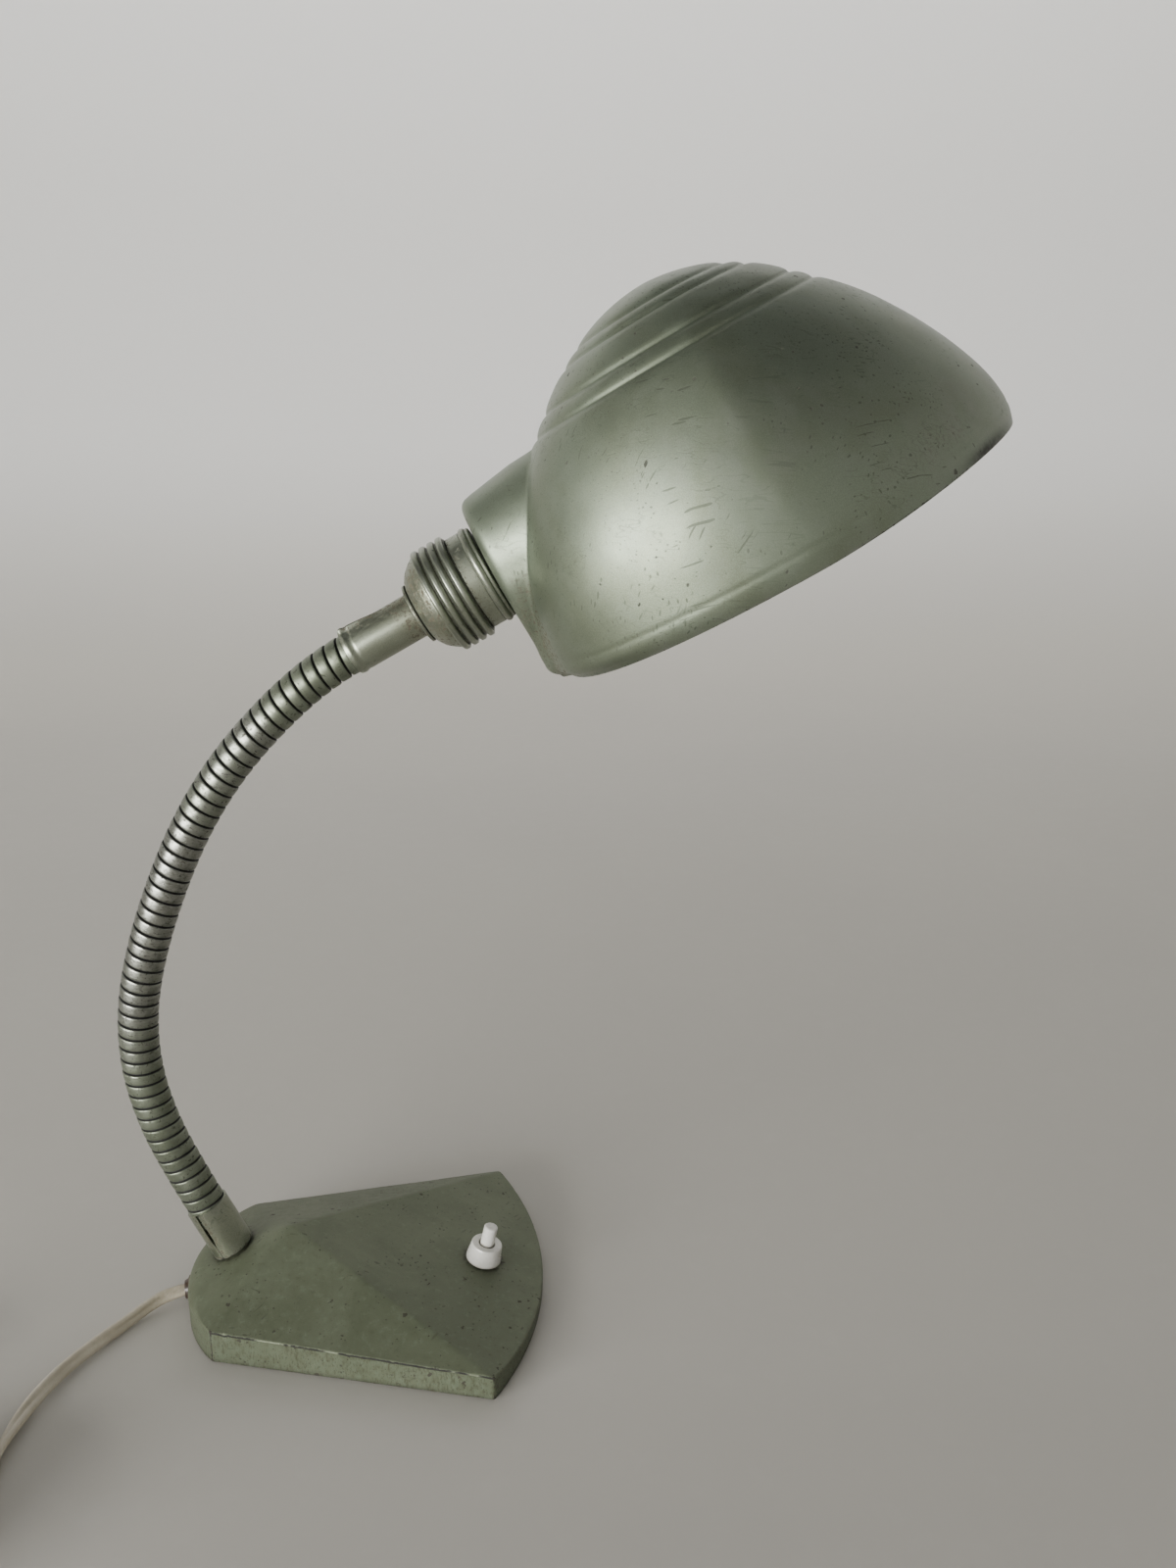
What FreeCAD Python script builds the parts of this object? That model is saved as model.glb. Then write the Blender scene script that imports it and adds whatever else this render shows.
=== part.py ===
import FreeCAD, Part
import Sketcher
import math
import os

# Gooseneck desk lamp with a faceted cast base, millimetres, +Z up.
# Origin: centre of the underside of the base. +X points to the front of the base, where the
# push-button switch is; the neck stands at the back and arches forward over the base.

V = FreeCAD.Vector
doc = FreeCAD.newDocument("gooseneck_desk_lamp")
sheet = doc.addObject("Spreadsheet::Sheet", "Sizes")

SIZES = [
    # faceted base
    ("base_back_x", -56.0, "back corner line"), ("base_back_half", 42.3, "half width at the back corners"),
    ("base_back_arc_x", -73.5, "furthest point of the rounded back"), ("base_back_rise", 14.2, "wall height at the back corners"),
    ("base_back_arc_rise", 16.0, "wall height at the middle of the back"),
    ("base_front_x", 54.3, "front corner line"), ("base_front_half", 68.7, "half width at the front corners"),
    ("base_front_arc_x", 73.5, "furthest point of the curved front"), ("base_front_rise", 10.5, "wall height at the front corners"),
    ("apex_x", -31.7, "point where the facets meet"), ("apex_z", 31.7, ""),
    ("base_foot", 0.6, "gap under the casting's edge"), ("base_roof", 5.6, "thickness of the facets"),
    ("base_side", 8.0, "thickness of the side walls"), ("switch_roof", 3.6, "thickness left at the switch"),
    ("felt_thick", 1.0, ""), ("plate_thick", 0.8, ""),
    # switch
    ("switch_x", 48.2, "switch centre on the front facet"), ("collar_low", 7.5, "collar radius at the facet"),
    ("collar_top", 6.45, ""), ("collar_rise", 7.6, ""), ("plunger_radius", 2.9, ""), ("plunger_top", 15.9, ""),
    ("switch_neck", 4.9, "threaded neck radius"), ("housing_radius", 8.0, ""), ("housing_drop", 8.1, ""),
    ("cavity_radius", 4.5, ""), ("cavity_floor", 7.5, ""), ("plunger_flange", 4.2, ""),
    # neck
    ("ferrule_x", -55.66, "seat of the lower sleeve"), ("ferrule_z", 22.24, ""), ("ferrule_length", 22.8, ""),
    ("ferrule_radius", 8.5, ""), ("ferrule_lean", 25.0, "degrees from upright"),
    ("conduit_od", 15.5, ""), ("conduit_id", 11.8, ""), ("conduit_grip", 11.5, "length held in each sleeve"),
    ("link_length", 26.3167, "length of one link of the neck"),
    ("turn_1", 2.66, "bend of each link, degrees"), ("turn_2", 10.24, ""), ("turn_3", 13.89, ""), ("turn_4", 12.39, ""),
    ("turn_5", 6.44, ""), ("turn_6", 4.67, ""), ("turn_7", 7.96, ""), ("turn_8", 8.71, ""), ("turn_9", 6.95, ""),
    ("turn_10", 11.65, ""), ("relief", 8.6, "degrees cut away at each end of a link"),
    ("lead_radius", 2.4, "twin lead inside the neck"), ("lead_stop", 1.6, ""),
    ("stud_radius", 4.8, "hollow threaded stud and nipple"), ("stud_bore", 3.0, ""),
    # lampholder, measured along its own axis from the mouth of the upper sleeve
    ("head_tilt", 29.5, "degrees above level"), ("sleeve_length", 28.6, ""), ("sleeve_radius", 8.7, ""),
    ("flange_radius", 11.5, ""), ("rib_radius", 20.2, ""), ("rib_root", 18.9, ""), ("rib_first", 39.0, ""),
    ("rib_pitch", 3.4, ""), ("cap_end", 51.0, ""), ("shell_radius", 18.0, ""), ("shell_end", 60.6, ""),
    ("bead_at", 58.0, ""), ("bead_radius", 18.8, ""), ("nose_radius", 15.0, ""), ("nose_bore", 13.9, ""),
    ("nose_end", 76.0, ""), ("bulb_radius", 25.0, ""), ("bulb_at", 108.0, ""),
    # shade
    ("shade_back", 61.8, "flat back of the shade"), ("shade_rim", -46.0, "plane of the opening"),
    ("shade_half", 80.0, "half width at the rim"), ("shade_tip", 252.0, ""), ("shade_heel", 62.6, ""),
    ("shade_top", 59.1, ""), ("shade_wall", 0.8, ""), ("boss_radius", 24.1, ""), ("boss_flare", 27.0, ""),
    ("boss_end", 96.0, ""),
    # cord
    ("cord_radius", 2.7, ""), ("coil_x", -153.0, ""), ("coil_y", -128.0, ""), ("coil_mid", 29.0, ""),
    ("coil_step", 5.4, ""), ("exit_y", -4.0, ""), ("exit_z", 5.5, ""), ("exit_swing", 14.0, "degrees"),
]
D = {}
for i, (alias, value, note) in enumerate(SIZES):
    row = i + 1
    sheet.set("A%d" % row, alias)
    sheet.set("B%d" % row, str(value))
    sheet.set("C%d" % row, note)
    sheet.setAlias("B%d" % row, alias)
doc.recompute()
for alias, value, note in SIZES:
    D[alias] = float(getattr(sheet, alias))


def terms(x):
    """Split 'a + 2*b - 3' into signed products."""
    out = []
    sign = 1.0
    for tok in str(x).split():
        if tok == "+":
            sign = 1.0
        elif tok == "-":
            sign = -1.0
        else:
            out.append((sign, tok.split("*")))
            sign = 1.0
    return out


def val(x):
    total = 0.0
    for sign, facs in terms(x):
        v = 1.0
        for f in facs:
            v *= D[f] if f in D else float(f)
        total += sign * v
    return total


def fx(x):
    out = ""
    for sign, facs in terms(x):
        piece = " * ".join(("Sizes." + f) if f in D else f for f in facs)
        out += (" + " if sign > 0 else " - ") + piece
    out = out.strip()
    return out[2:] if out.startswith("+ ") else out


def rot(direction, up=V(0, 0, 1)):
    return FreeCAD.Rotation(up, V(*direction))


def at(pos, rotation=None):
    return FreeCAD.Placement(V(*pos), rotation if rotation else FreeCAD.Rotation())


def prim(kind, name, props, place=None):
    o = doc.addObject("Part::" + kind, name)
    for k, x in props.items():
        o.setExpression(k, fx(x))
    if place:
        o.Placement = place
    return o


def cyl(name, r, h, place=None):
    return prim("Cylinder", name, {"Radius": r, "Height": h}, place)


def box(name, l, w, h, place=None):
    return prim("Box", name, {"Length": l, "Width": w, "Height": h}, place)


def cut(name, a, b):
    o = doc.addObject("Part::Cut", name)
    o.Base = a
    o.Tool = b
    return o


def fuse(name, *parts):
    o = doc.addObject("Part::MultiFuse", name)
    o.Shapes = list(parts)
    return o


NODES = []


def node(o, label):
    o.Label = label
    NODES.append(o)
    return o


def plane_of(body, role):
    for f in body.Origin.OriginFeatures:
        if f.Role == role:
            return f
    raise RuntimeError(role)


def turned(label, pts, place=None):
    """A turned piece: closed profile of (radius, height) pairs bound to the sheet, revolved about Z."""
    body = doc.addObject("PartDesign::Body", "B_" + label)
    sk = body.newObject("Sketcher::SketchObject", "S_" + label)
    sk.AttachmentSupport = [(plane_of(body, "XZ_Plane"), "")]
    sk.MapMode = "FlatFace"
    q = [V(val(a), val(b), 0) for a, b in pts]
    k = len(q)
    for i in range(k):
        sk.addGeometry(Part.LineSegment(q[i], q[(i + 1) % k]), False)
    for i in range(k):
        sk.addConstraint(Sketcher.Constraint("Coincident", i, 2, (i + 1) % k, 1))
    for i in range(k):
        if abs(q[i].x) < 1e-9:
            sk.addConstraint(Sketcher.Constraint("PointOnObject", i, 1, -2))
        else:
            c = sk.addConstraint(Sketcher.Constraint("DistanceX", -1, 1, i, 1, q[i].x))
            sk.setExpression("Constraints[%d]" % c, fx(pts[i][0]))
        if abs(q[i].y) < 1e-9:
            sk.addConstraint(Sketcher.Constraint("PointOnObject", i, 1, -1))
        else:
            c = sk.addConstraint(Sketcher.Constraint("DistanceY", -1, 1, i, 1, q[i].y))
            sk.setExpression("Constraints[%d]" % c, fx(pts[i][1]))
    rev = body.newObject("PartDesign::Revolution", "R_" + label)
    rev.Profile = sk
    rev.ReferenceAxis = (sk, ["V_Axis"])
    rev.Angle = 360
    sk.Visibility = False
    if place:
        body.Placement = place
    doc.recompute()
    return body


def feature(label, shape, place=None):
    o = doc.addObject("Part::Feature", "F_" + label)
    o.Shape = shape
    if place:
        o.Placement = place
    return o


def round_path(points, radius):
    """Straight runs joined by tangent arcs, swept with a round section. Returns shape, length, radii."""
    P = [V(*p) for p in points]
    edges = []
    radii = []
    start = P[0]
    for i in range(1, len(P) - 1):
        a = P[i].sub(P[i - 1])
        b = P[i + 1].sub(P[i])
        la, lb = a.Length, b.Length
        a.normalize()
        b.normalize()
        turn = math.acos(max(-1.0, min(1.0, a.dot(b))))
        run = 0.45 * min(la, lb)
        r = run / math.tan(turn / 2)
        radii.append(r)
        t1 = P[i].sub(V(a).multiply(run))
        t2 = P[i].add(V(b).multiply(run))
        bis = V(b).sub(a)
        bis.normalize()
        centre = P[i].add(V(bis).multiply(r / math.cos(turn / 2)))
        mid = centre.sub(V(bis).multiply(r))
        edges.append(Part.LineSegment(start, t1).toShape())
        edges.append(Part.Arc(t1, mid, t2).toShape())
        start = t2
    edges.append(Part.LineSegment(start, P[-1]).toShape())
    wire = Part.Wire(edges)
    d = P[1].sub(P[0])
    d.normalize()
    section = Part.Wire([Part.makeCircle(radius, P[0], d)])
    tube = wire.makePipeShell([section], True, False)
    return tube, wire.Length, radii


# ------------------------------------------------------------------ base casting
def base_solid(side, roof, z0):
    """Faceted block. side: inset of the walls, roof: drop of the facets."""
    xb = D["base_back_x"] + 0.35 * side
    yb = D["base_back_half"] - 1.05 * side
    xba = D["base_back_arc_x"] + side
    xf = D["base_front_x"] - 0.75 * side
    yf = D["base_front_half"] - 1.15 * side
    xfa = D["base_front_arc_x"] - side
    zb, zba, zf = D["base_back_rise"] - roof, D["base_back_arc_rise"] - roof, D["base_front_rise"] - roof
    ax, az = D["apex_x"], D["apex_z"] - roof
    apex = V(ax, 0, az)
    nl, fl, nf, ff = V(xb, -yb, zb), V(xb, yb, zb), V(xf, -yf, zf), V(xf, yf, zf)

    def flat(p, z=z0):
        return V(p.x, p.y, z)
    # front part: prism under the two side facets and the front facet
    wire = Part.Wire([
        Part.LineSegment(flat(apex), flat(nl)).toShape(), Part.LineSegment(flat(nl), flat(nf)).toShape(),
        Part.Arc(flat(nf), V(xfa, 0, z0), flat(ff)).toShape(),
        Part.LineSegment(flat(ff), flat(fl)).toShape(), Part.LineSegment(flat(fl), flat(apex)).toShape()])
    front = Part.Face(wire).extrude(V(0, 0, az - z0 + 5))

    def above(p, q, r):
        n = (q - p).cross(r - p)
        if n.z < 0:
            n = n * -1
        n.normalize()
        big = Part.makeBox(600, 600, 200, V(-300, -300, 0))
        big.Placement = FreeCAD.Placement(p, FreeCAD.Rotation(V(0, 0, 1), n))
        return big
    for tri in ((apex, nf, ff), (apex, nl, nf), (apex, ff, fl)):
        front = front.cut(above(*tri))
    # back part: fan between the apex and the curved back edge
    mid = V(xba, 0, zba)
    k = 3.2

    def out(p):
        return apex.add((p.sub(apex)).multiply(k))
    # straight rulings from the apex to the back edge, carried on below the floor
    low = out(nl).z
    ring = Part.Wire([Part.Arc(V(out(nl).x, out(nl).y, low), V(out(mid).x, 0, low), V(out(fl).x, out(fl).y, low)).toShape(),
                      Part.LineSegment(V(out(fl).x, out(fl).y, low), V(ax, 0, low)).toShape(),
                      Part.LineSegment(V(ax, 0, low), V(out(nl).x, out(nl).y, low)).toShape()])
    cone = Part.makeLoft([ring, Part.Vertex(apex)], True, True)
    sector = Part.Face(Part.Wire([Part.LineSegment(flat(apex), flat(nl)).toShape(),
                                  Part.Arc(flat(nl), V(xba, 0, z0), flat(fl)).toShape(),
                                  Part.LineSegment(flat(fl), flat(apex)).toShape()])).extrude(V(0, 0, az - z0 + 5))
    back = sector.common(cone)
    return front.fuse(back).removeSplitter()


def facet_normal():
    a = V(D["apex_x"], 0, D["apex_z"])
    b = V(D["base_front_x"], -D["base_front_half"], D["base_front_rise"])
    c = V(D["base_front_x"], D["base_front_half"], D["base_front_rise"])
    n = (b - a).cross(c - a)
    if n.z < 0:
        n = n * -1
    n.normalize()
    return n


FN = facet_normal()
SW = V(D["switch_x"], 0, D["apex_z"] - (D["switch_x"] - D["apex_x"]) * (-1) * (-FN.x / FN.z))
SW_ROT = FreeCAD.Rotation(V(0, 0, 1), FN)
lean = math.radians(D["ferrule_lean"])
FD = V(-math.sin(lean), 0, math.cos(lean))
FS = V(D["ferrule_x"], 0, D["ferrule_z"])
F_ROT = FreeCAD.Rotation(V(0, -1, 0), D["ferrule_lean"])
swing = math.radians(D["exit_swing"])
ED = V(-math.cos(swing), -math.sin(swing), 0)
EP = V(-73.35, D["exit_y"], D["exit_z"])
E_ROT = FreeCAD.Rotation(V(0, 0, 1), ED)

outer = base_solid(0.0, 0.0, D["base_foot"])
inner = base_solid(D["base_side"], D["base_roof"], D["base_foot"] - 1)
# shallow rebate for the plate and the felt
rebate = base_solid(5.5, 0.0, D["base_foot"] - 1).common(Part.makeBox(400, 400, 3, V(-200, -200, D["felt_thick"] + D["plate_thick"] - 3)))
inner = inner.fuse(rebate)


def along(origin, d, r, a, b):
    """Cylinder of radius r on the line origin + s*d for s from a to b."""
    return Part.makeCylinder(r, b - a, origin + V(d) * a, d)


cast = outer.cut(inner)
# thick pad that carries the neck, flat on both sides
pad = along(FS, FD, 11.5, -5.5, 0.2).common(outer)
cast = cast.fuse(pad)
cast = cast.cut(along(FS, FD, 9.0, 0.0, 20.0))
cast = cast.cut(along(FS, FD, 5.0, -30.0, 5.0))
cast = cast.cut(along(FS, FD, 10.5, -16.0, -5.5))
# hole for the switch
cast = cast.cut(along(SW, FN, 5.0, -20.0, 5.0))
cast = cast.cut(along(SW, FN, 12.8, -14.0, -D["switch_roof"]).common(Part.makeBox(400, 400, 40, V(-200, -200, 1.8))))
# cord hole with a spot face
cast = cast.cut(along(EP, ED, 4.5, -12.0, 5.0))
cast = cast.cut(along(EP, ED, 5.8, -0.6, 6.0))
# four screw posts
POSTS = [(-46.0, -28.0), (-46.0, 28.0), (38.0, -50.0), (38.0, 50.0)]
z_post = D["felt_thick"] + D["plate_thick"]
for px, py in POSTS:
    post = Part.makeCylinder(4.0, 40, V(px, py, z_post)).common(outer)
    cast = cast.fuse(post)
for px, py in POSTS:
    cast = cast.cut(Part.makeCylinder(1.5, 5.0, V(px, py, z_post - 0.1)))
cast = cast.removeSplitter()
node(feature("base_casting", cast), "base_casting")

# plate and felt, cut to the inside of the walls
slab = base_solid(5.9, 0.0, D["felt_thick"]).common(Part.makeBox(400, 400, D["plate_thick"], V(-200, -200, D["felt_thick"])))
for px, py in POSTS:
    slab = slab.cut(Part.makeCylinder(1.8, 10, V(px, py, -1)))
node(feature("base_plate", slab), "base_plate")
felt = base_solid(6.3, 0.0, 0.0).common(Part.makeBox(400, 400, D["felt_thick"], V(-200, -200, 0)))
for px, py in POSTS:
    felt = felt.cut(Part.makeCylinder(3.4, 10, V(px, py, -1)))
node(feature("base_felt", felt), "base_felt")


def screw_at(name, r_head, t_head, r_shank, length, pos, d):
    """Slotted screw, head at pos, shank along d."""
    R = FreeCAD.Rotation(V(0, 0, 1), V(*d))
    head = cyl(name + "_head", r_head, t_head)
    shank = cyl(name + "_shank", r_shank, length)
    body = fuse(name + "_blank", head, shank)
    slot = box(name + "_slot", 2 * r_head + 1, 0.5, 0.5 * t_head, at((-r_head - 0.5, -0.25, -0.01)))
    s = cut(name, body, slot)
    s.Placement = FreeCAD.Placement(V(*pos), R)
    return s


def group(name, *items):
    o = doc.addObject("Part::Compound", name)
    o.Links = list(items)
    return o


node(group("g_plate_screws", *[screw_at("ps%d" % i, 2.9, 0.75, 1.45, 5.2, (px, py, 0.2), (0, 0, 1))
                                for i, (px, py) in enumerate(POSTS)]), "base_plate_screws")

# ------------------------------------------------------------------ switch
SP = FreeCAD.Placement(SW, SW_ROT)
# heights in the switch's own frame are kept positive by measuring up from its lowest point
SH = D["housing_drop"]
SWB = FreeCAD.Placement(SW - FN * SH, SW_ROT)
zc = "housing_drop"
node(turned("switch_collar", [
    ("switch_neck + 0.06", zc), ("collar_low", zc), ("collar_low", zc + " + 0.9"), ("collar_top", zc + " + collar_rise - 0.4"),
    ("collar_top - 0.4", zc + " + collar_rise"), ("plunger_radius + 0.1", zc + " + collar_rise"),
    ("plunger_radius + 0.1", zc + " + 5.2"), ("switch_neck + 0.06", zc + " + 5.2")], SWB), "switch_collar")
node(turned("switch_housing", [
    ("0", "0"), ("housing_radius", "0"), ("housing_radius", zc + " - switch_roof - 0.05"), ("switch_neck", zc + " - switch_roof - 0.05"),
    ("switch_neck", zc + " + 5.0"), ("plunger_radius + 0.08", zc + " + 5.0"), ("plunger_radius + 0.08", zc + " - 3.65"),
    ("cavity_radius", zc + " - 3.65"), ("cavity_radius", zc + " - cavity_floor"), ("0", zc + " - cavity_floor")], SWB), "switch_housing")
node(turned("switch_plunger", [
    ("0", zc + " - 4.55"), ("plunger_flange", zc + " - 4.55"), ("plunger_flange", zc + " - 3.75"),
    ("plunger_radius", zc + " - 3.75"), ("plunger_radius", zc + " + plunger_top - 1.0"),
    ("plunger_radius - 0.35", zc + " + plunger_top - 0.3"), ("plunger_radius - 1.0", zc + " + plunger_top"),
    ("0", zc + " + plunger_top")], SWB), "switch_plunger")
helix = Part.makeHelix(0.78, 2.34, 3.2)
# an eight-sided wire keeps each face of the spring short and its surface closed
wire_pts = [V(3.2 + 0.22 * math.cos(math.pi * (2 * k + 1) / 8), 0, 0.22 * math.sin(math.pi * (2 * k + 1) / 8)) for k in range(8)]
sec = Part.makePolygon(wire_pts + [wire_pts[0]])
coil_spring = Part.Wire(helix).makePipeShell([sec], True, True)
node(feature("switch_spring", coil_spring, FreeCAD.Placement(SW - FN * (D["cavity_floor"] - 0.26), SW_ROT)), "switch_spring")
lug_a = box("lug_a", 4, 3.2, 0.8, FreeCAD.Placement(SWB.multVec(V(-2, 8.05, 2.2)), SW_ROT))
lug_b = box("lug_b", 4, 3.2, 0.8, FreeCAD.Placement(SWB.multVec(V(-2, -11.25, 2.2)), SW_ROT))
hole_a = cyl("lug_hole_a", 0.85, 4, FreeCAD.Placement(SWB.multVec(V(0, 9.9, 0.8)), SW_ROT))
hole_b = cyl("lug_hole_b", 0.85, 4, FreeCAD.Placement(SWB.multVec(V(0, -9.9, 0.8)), SW_ROT))
node(group("g_lugs", cut("lug_a_cut", lug_a, hole_a), cut("lug_b_cut", lug_b, hole_b)), "switch_terminals")


def tscrew(name, place):
    head = cyl(name + "_h", 1.4, 0.9)
    shank = cyl(name + "_s", 0.8, 2.6, at((0, 0, -1.7)))
    o = fuse(name, head, shank)
    o.Placement = place
    return o


node(group("g_lug_screws", tscrew("ls_a", FreeCAD.Placement(SWB.multVec(V(0, 9.9, 3.02)), SW_ROT)),
           tscrew("ls_b", FreeCAD.Placement(SWB.multVec(V(0, -9.9, 3.02)), SW_ROT))), "switch_terminal_screws")

# ------------------------------------------------------------------ lower sleeve, stud, washer, nut
FP = FreeCAD.Placement(FS, F_ROT)
fer = turned("ferrule_blank", [
    ("stud_radius + 0.06", "0"), ("ferrule_radius", "0"), ("ferrule_radius", "ferrule_length - 0.5"),
    ("ferrule_radius - 0.4", "ferrule_length"), ("conduit_od*0.5 + 0.06", "ferrule_length"),
    ("conduit_od*0.5 + 0.06", "ferrule_length - conduit_grip - 0.3"), ("stud_radius + 0.06", "ferrule_length - conduit_grip - 0.3")], FP)
slit = box("ferrule_slit_tool", 6, 1.3, 14, None)
slit.Placement = FP.multiply(FreeCAD.Placement(V(0, 0, 0), FreeCAD.Rotation(V(0, 0, 1), -112))).multiply(
    FreeCAD.Placement(V(5.0, -0.65, 11.6), FreeCAD.Rotation()))
node(cut("ferrule_cut", fer, slit), "neck_ferrule")
ST = FreeCAD.Placement(FS - FD * 13.0, F_ROT)
node(turned("neck_stud", [("stud_bore", "0"), ("stud_radius", "0"), ("stud_radius", "23.5"), ("stud_bore", "23.5")], ST), "neck_stud")
node(turned("neck_stud_washer", [("5.0", "0"), ("9.2", "0"), ("9.2", "1.0"), ("5.0", "1.0")],
            FreeCAD.Placement(FS - FD * 6.55, F_ROT)), "neck_stud_washer")
nut = prim("Prism", "nut_blank", {"Circumradius": "8.4", "Height": "3.6"})
nut.Polygon = 6
nut_hole = cyl("nut_hole", "stud_radius + 0.05", "10", at((0, 0, -2)))
nutc = cut("nut_cut", nut, nut_hole)
nutc.Placement = FreeCAD.Placement(FS - FD * 10.2, F_ROT)
node(nutc, "neck_stud_nut")

# ------------------------------------------------------------------ neck links
T0 = FS + FD * D["ferrule_length"]
heading = math.radians(90.0 + D["ferrule_lean"])
PATH = [(V(T0), heading)]
LINKS = []
pos = V(T0)
for i in range(1, 11):
    th = math.radians(D["turn_%d" % i])
    R = D["link_length"] / th
    tdir = V(math.cos(heading), 0, math.sin(heading))
    left = V(-math.sin(heading), 0, math.cos(heading))
    centre = pos - left * R
    LINKS.append((V(pos), V(tdir), V(left), V(centre), R, th))
    heading -= th
    left2 = V(-math.sin(heading), 0, math.cos(heading))
    pos = centre + left2 * R
    PATH.append((V(pos), heading))


def frame_of(p, x, y):
    """Placement whose local X and Y are x and y."""
    z = x.cross(y)
    m = FreeCAD.Matrix(x.x, y.x, z.x, p.x, x.y, y.y, z.y, p.y, x.z, y.z, z.z, p.z, 0, 0, 0, 1)
    return FreeCAD.Placement(m)


def relief(p, d):
    """Material removed at a joint: all that lies between the cross-section and a flat cone."""
    rise = 12 * math.tan(math.radians(D["relief"]))
    tri = Part.Face(Part.makePolygon([V(0, 0, 0), V(12, 0, 0), V(12, 0, rise), V(0, 0, 0)]))
    tool = tri.revolve(V(0, 0, 0), V(0, 0, 1), 360)
    tool.Placement = FreeCAD.Placement(p, FreeCAD.Rotation(V(0, 0, 1), d))
    return tool


def ring_bend(link, r):
    """One bent length of tube, solid, radius r."""
    p, tdir, left, centre, R, th = link
    bar = Part.makeTorus(R, r, V(0, 0, 0), V(0, 0, 1), -180, 180, math.degrees(th))
    bar.Placement = frame_of(centre, left, tdir)
    return bar


def bend(name, link, r, a0=0.0, a1=None):
    p, tdir, left, centre, R, th = link
    a1 = th if a1 is None else a1
    tor = doc.addObject("Part::Torus", name)
    tor.Radius1 = R
    tor.setExpression("Radius2", fx(r))
    tor.Angle1 = -180
    tor.Angle2 = 180
    tor.Angle3 = math.degrees(a1 - a0)
    x = left * math.cos(a0) + tdir * math.sin(a0)
    y = tdir * math.cos(a0) - left * math.sin(a0)
    tor.Placement = frame_of(centre, x, y)
    return tor


for i, link in enumerate(LINKS):
    k = i + 1
    p, tdir, left, centre, R, th = link
    q, hq = PATH[i + 1]
    qdir = V(math.cos(hq), 0, math.sin(hq))
    ro, ri, grip = D["conduit_od"] / 2, D["conduit_id"] / 2, D["conduit_grip"]
    tube = ring_bend(link, ro).cut(ring_bend(link, ri))
    if i == 0:
        straight = Part.makeCylinder(ro, grip, p - tdir * grip, tdir).cut(Part.makeCylinder(ri, grip + 2, p - tdir * (grip + 1), tdir))
        tube = tube.fuse(straight)
    if i == 9:
        straight = Part.makeCylinder(ro, grip, q, qdir).cut(Part.makeCylinder(ri, grip + 2, q - qdir, qdir))
        tube = tube.fuse(straight)
    if i > 0:
        tube = tube.cut(relief(p, tdir))
    if i < 9:
        tube = tube.cut(relief(q, qdir * -1))
    node(feature("conduit_%02d" % k, tube), "neck_conduit_%02d" % k)
    gap = D["lead_stop"] / R
    a0 = gap
    a1 = th - gap
    node(bend("lead_%02d" % k, link, "lead_radius", a0, a1), "neck_lead_%02d" % k)
doc.recompute()

# ------------------------------------------------------------------ head
H0, h_head = PATH[-1]
HA = math.radians(D["head_tilt"])
HD = V(math.cos(h_head), 0, math.sin(h_head))
H_ROT = FreeCAD.Rotation(V(0, 0, 1), HD)
HP = FreeCAD.Placement(H0, H_ROT)
sleeve = turned("sleeve_blank", [
    ("conduit_od*0.5 + 0.06", "0"), ("sleeve_radius - 0.4", "0"), ("sleeve_radius", "0.5"), ("sleeve_radius", "sleeve_length"),
    ("stud_radius + 0.06", "sleeve_length"), ("stud_radius + 0.06", "conduit_grip + 0.4"), ("conduit_od*0.5 + 0.06", "conduit_grip + 0.4")], HP)
s_slit = box("sleeve_slit_tool", 6, 1.3, 14, None)
s_slit.Placement = HP.multiply(FreeCAD.Placement(V(0, 0, 0), FreeCAD.Rotation(V(0, 0, 1), -155))).multiply(
    FreeCAD.Placement(V(5.0, -0.65, -2.6), FreeCAD.Rotation()))
node(cut("sleeve_cut", sleeve, s_slit), "neck_top_sleeve")
node(turned("holder_nipple", [("stud_bore", "17"), ("stud_radius", "17"), ("stud_radius", "36.4"), ("stud_bore", "36.4")], HP), "holder_nipple")
node(turned("holder_flange", [("stud_radius + 0.08", "sleeve_length + 0.1"), ("flange_radius", "sleeve_length + 0.1"),
                              ("flange_radius", "sleeve_length + 1.5"), ("stud_radius + 0.08", "sleeve_length + 1.5")], HP), "holder_flange")
cap = [("stud_radius + 0.08", "sleeve_length + 1.6"), ("11.0", "sleeve_length + 1.6"), ("14.6", "sleeve_length + 2.9"),
       ("17.2", "sleeve_length + 5.3"), ("18.6", "sleeve_length + 8.4")]
for j in range(4):
    c = "rib_first + %d*rib_pitch" % j if j else "rib_first"
    cap += [("rib_root", c + " - 1.25"), ("rib_radius - 0.45", c + " - 0.95"), ("rib_radius", c + " - 0.35"), ("rib_radius", c + " + 0.35"),
            ("rib_radius - 0.45", c + " + 0.95"), ("rib_root", c + " + 1.25")]
cap += [("rib_root", "cap_end"), ("17.5", "cap_end"), ("17.5", "38.4"), ("16.1", "34.6"), ("13.6", "32.3"), ("10.6", "31.4"), ("stud_radius + 0.08", "31.4")]
node(turned("holder_cap", cap, HP), "holder_cap")
hn = prim("Prism", "holder_nut_blank", {"Circumradius": "7.6", "Height": "2.8"})
hn.Polygon = 6
hnc = cut("holder_nut_cut", hn, cyl("holder_nut_hole", "stud_radius + 0.05", "10", at((0, 0, -2))))
hnc.Placement = HP.multiply(FreeCAD.Placement(V(0, 0, 31.5), FreeCAD.Rotation()))
node(hnc, "holder_lock_nut")
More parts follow.
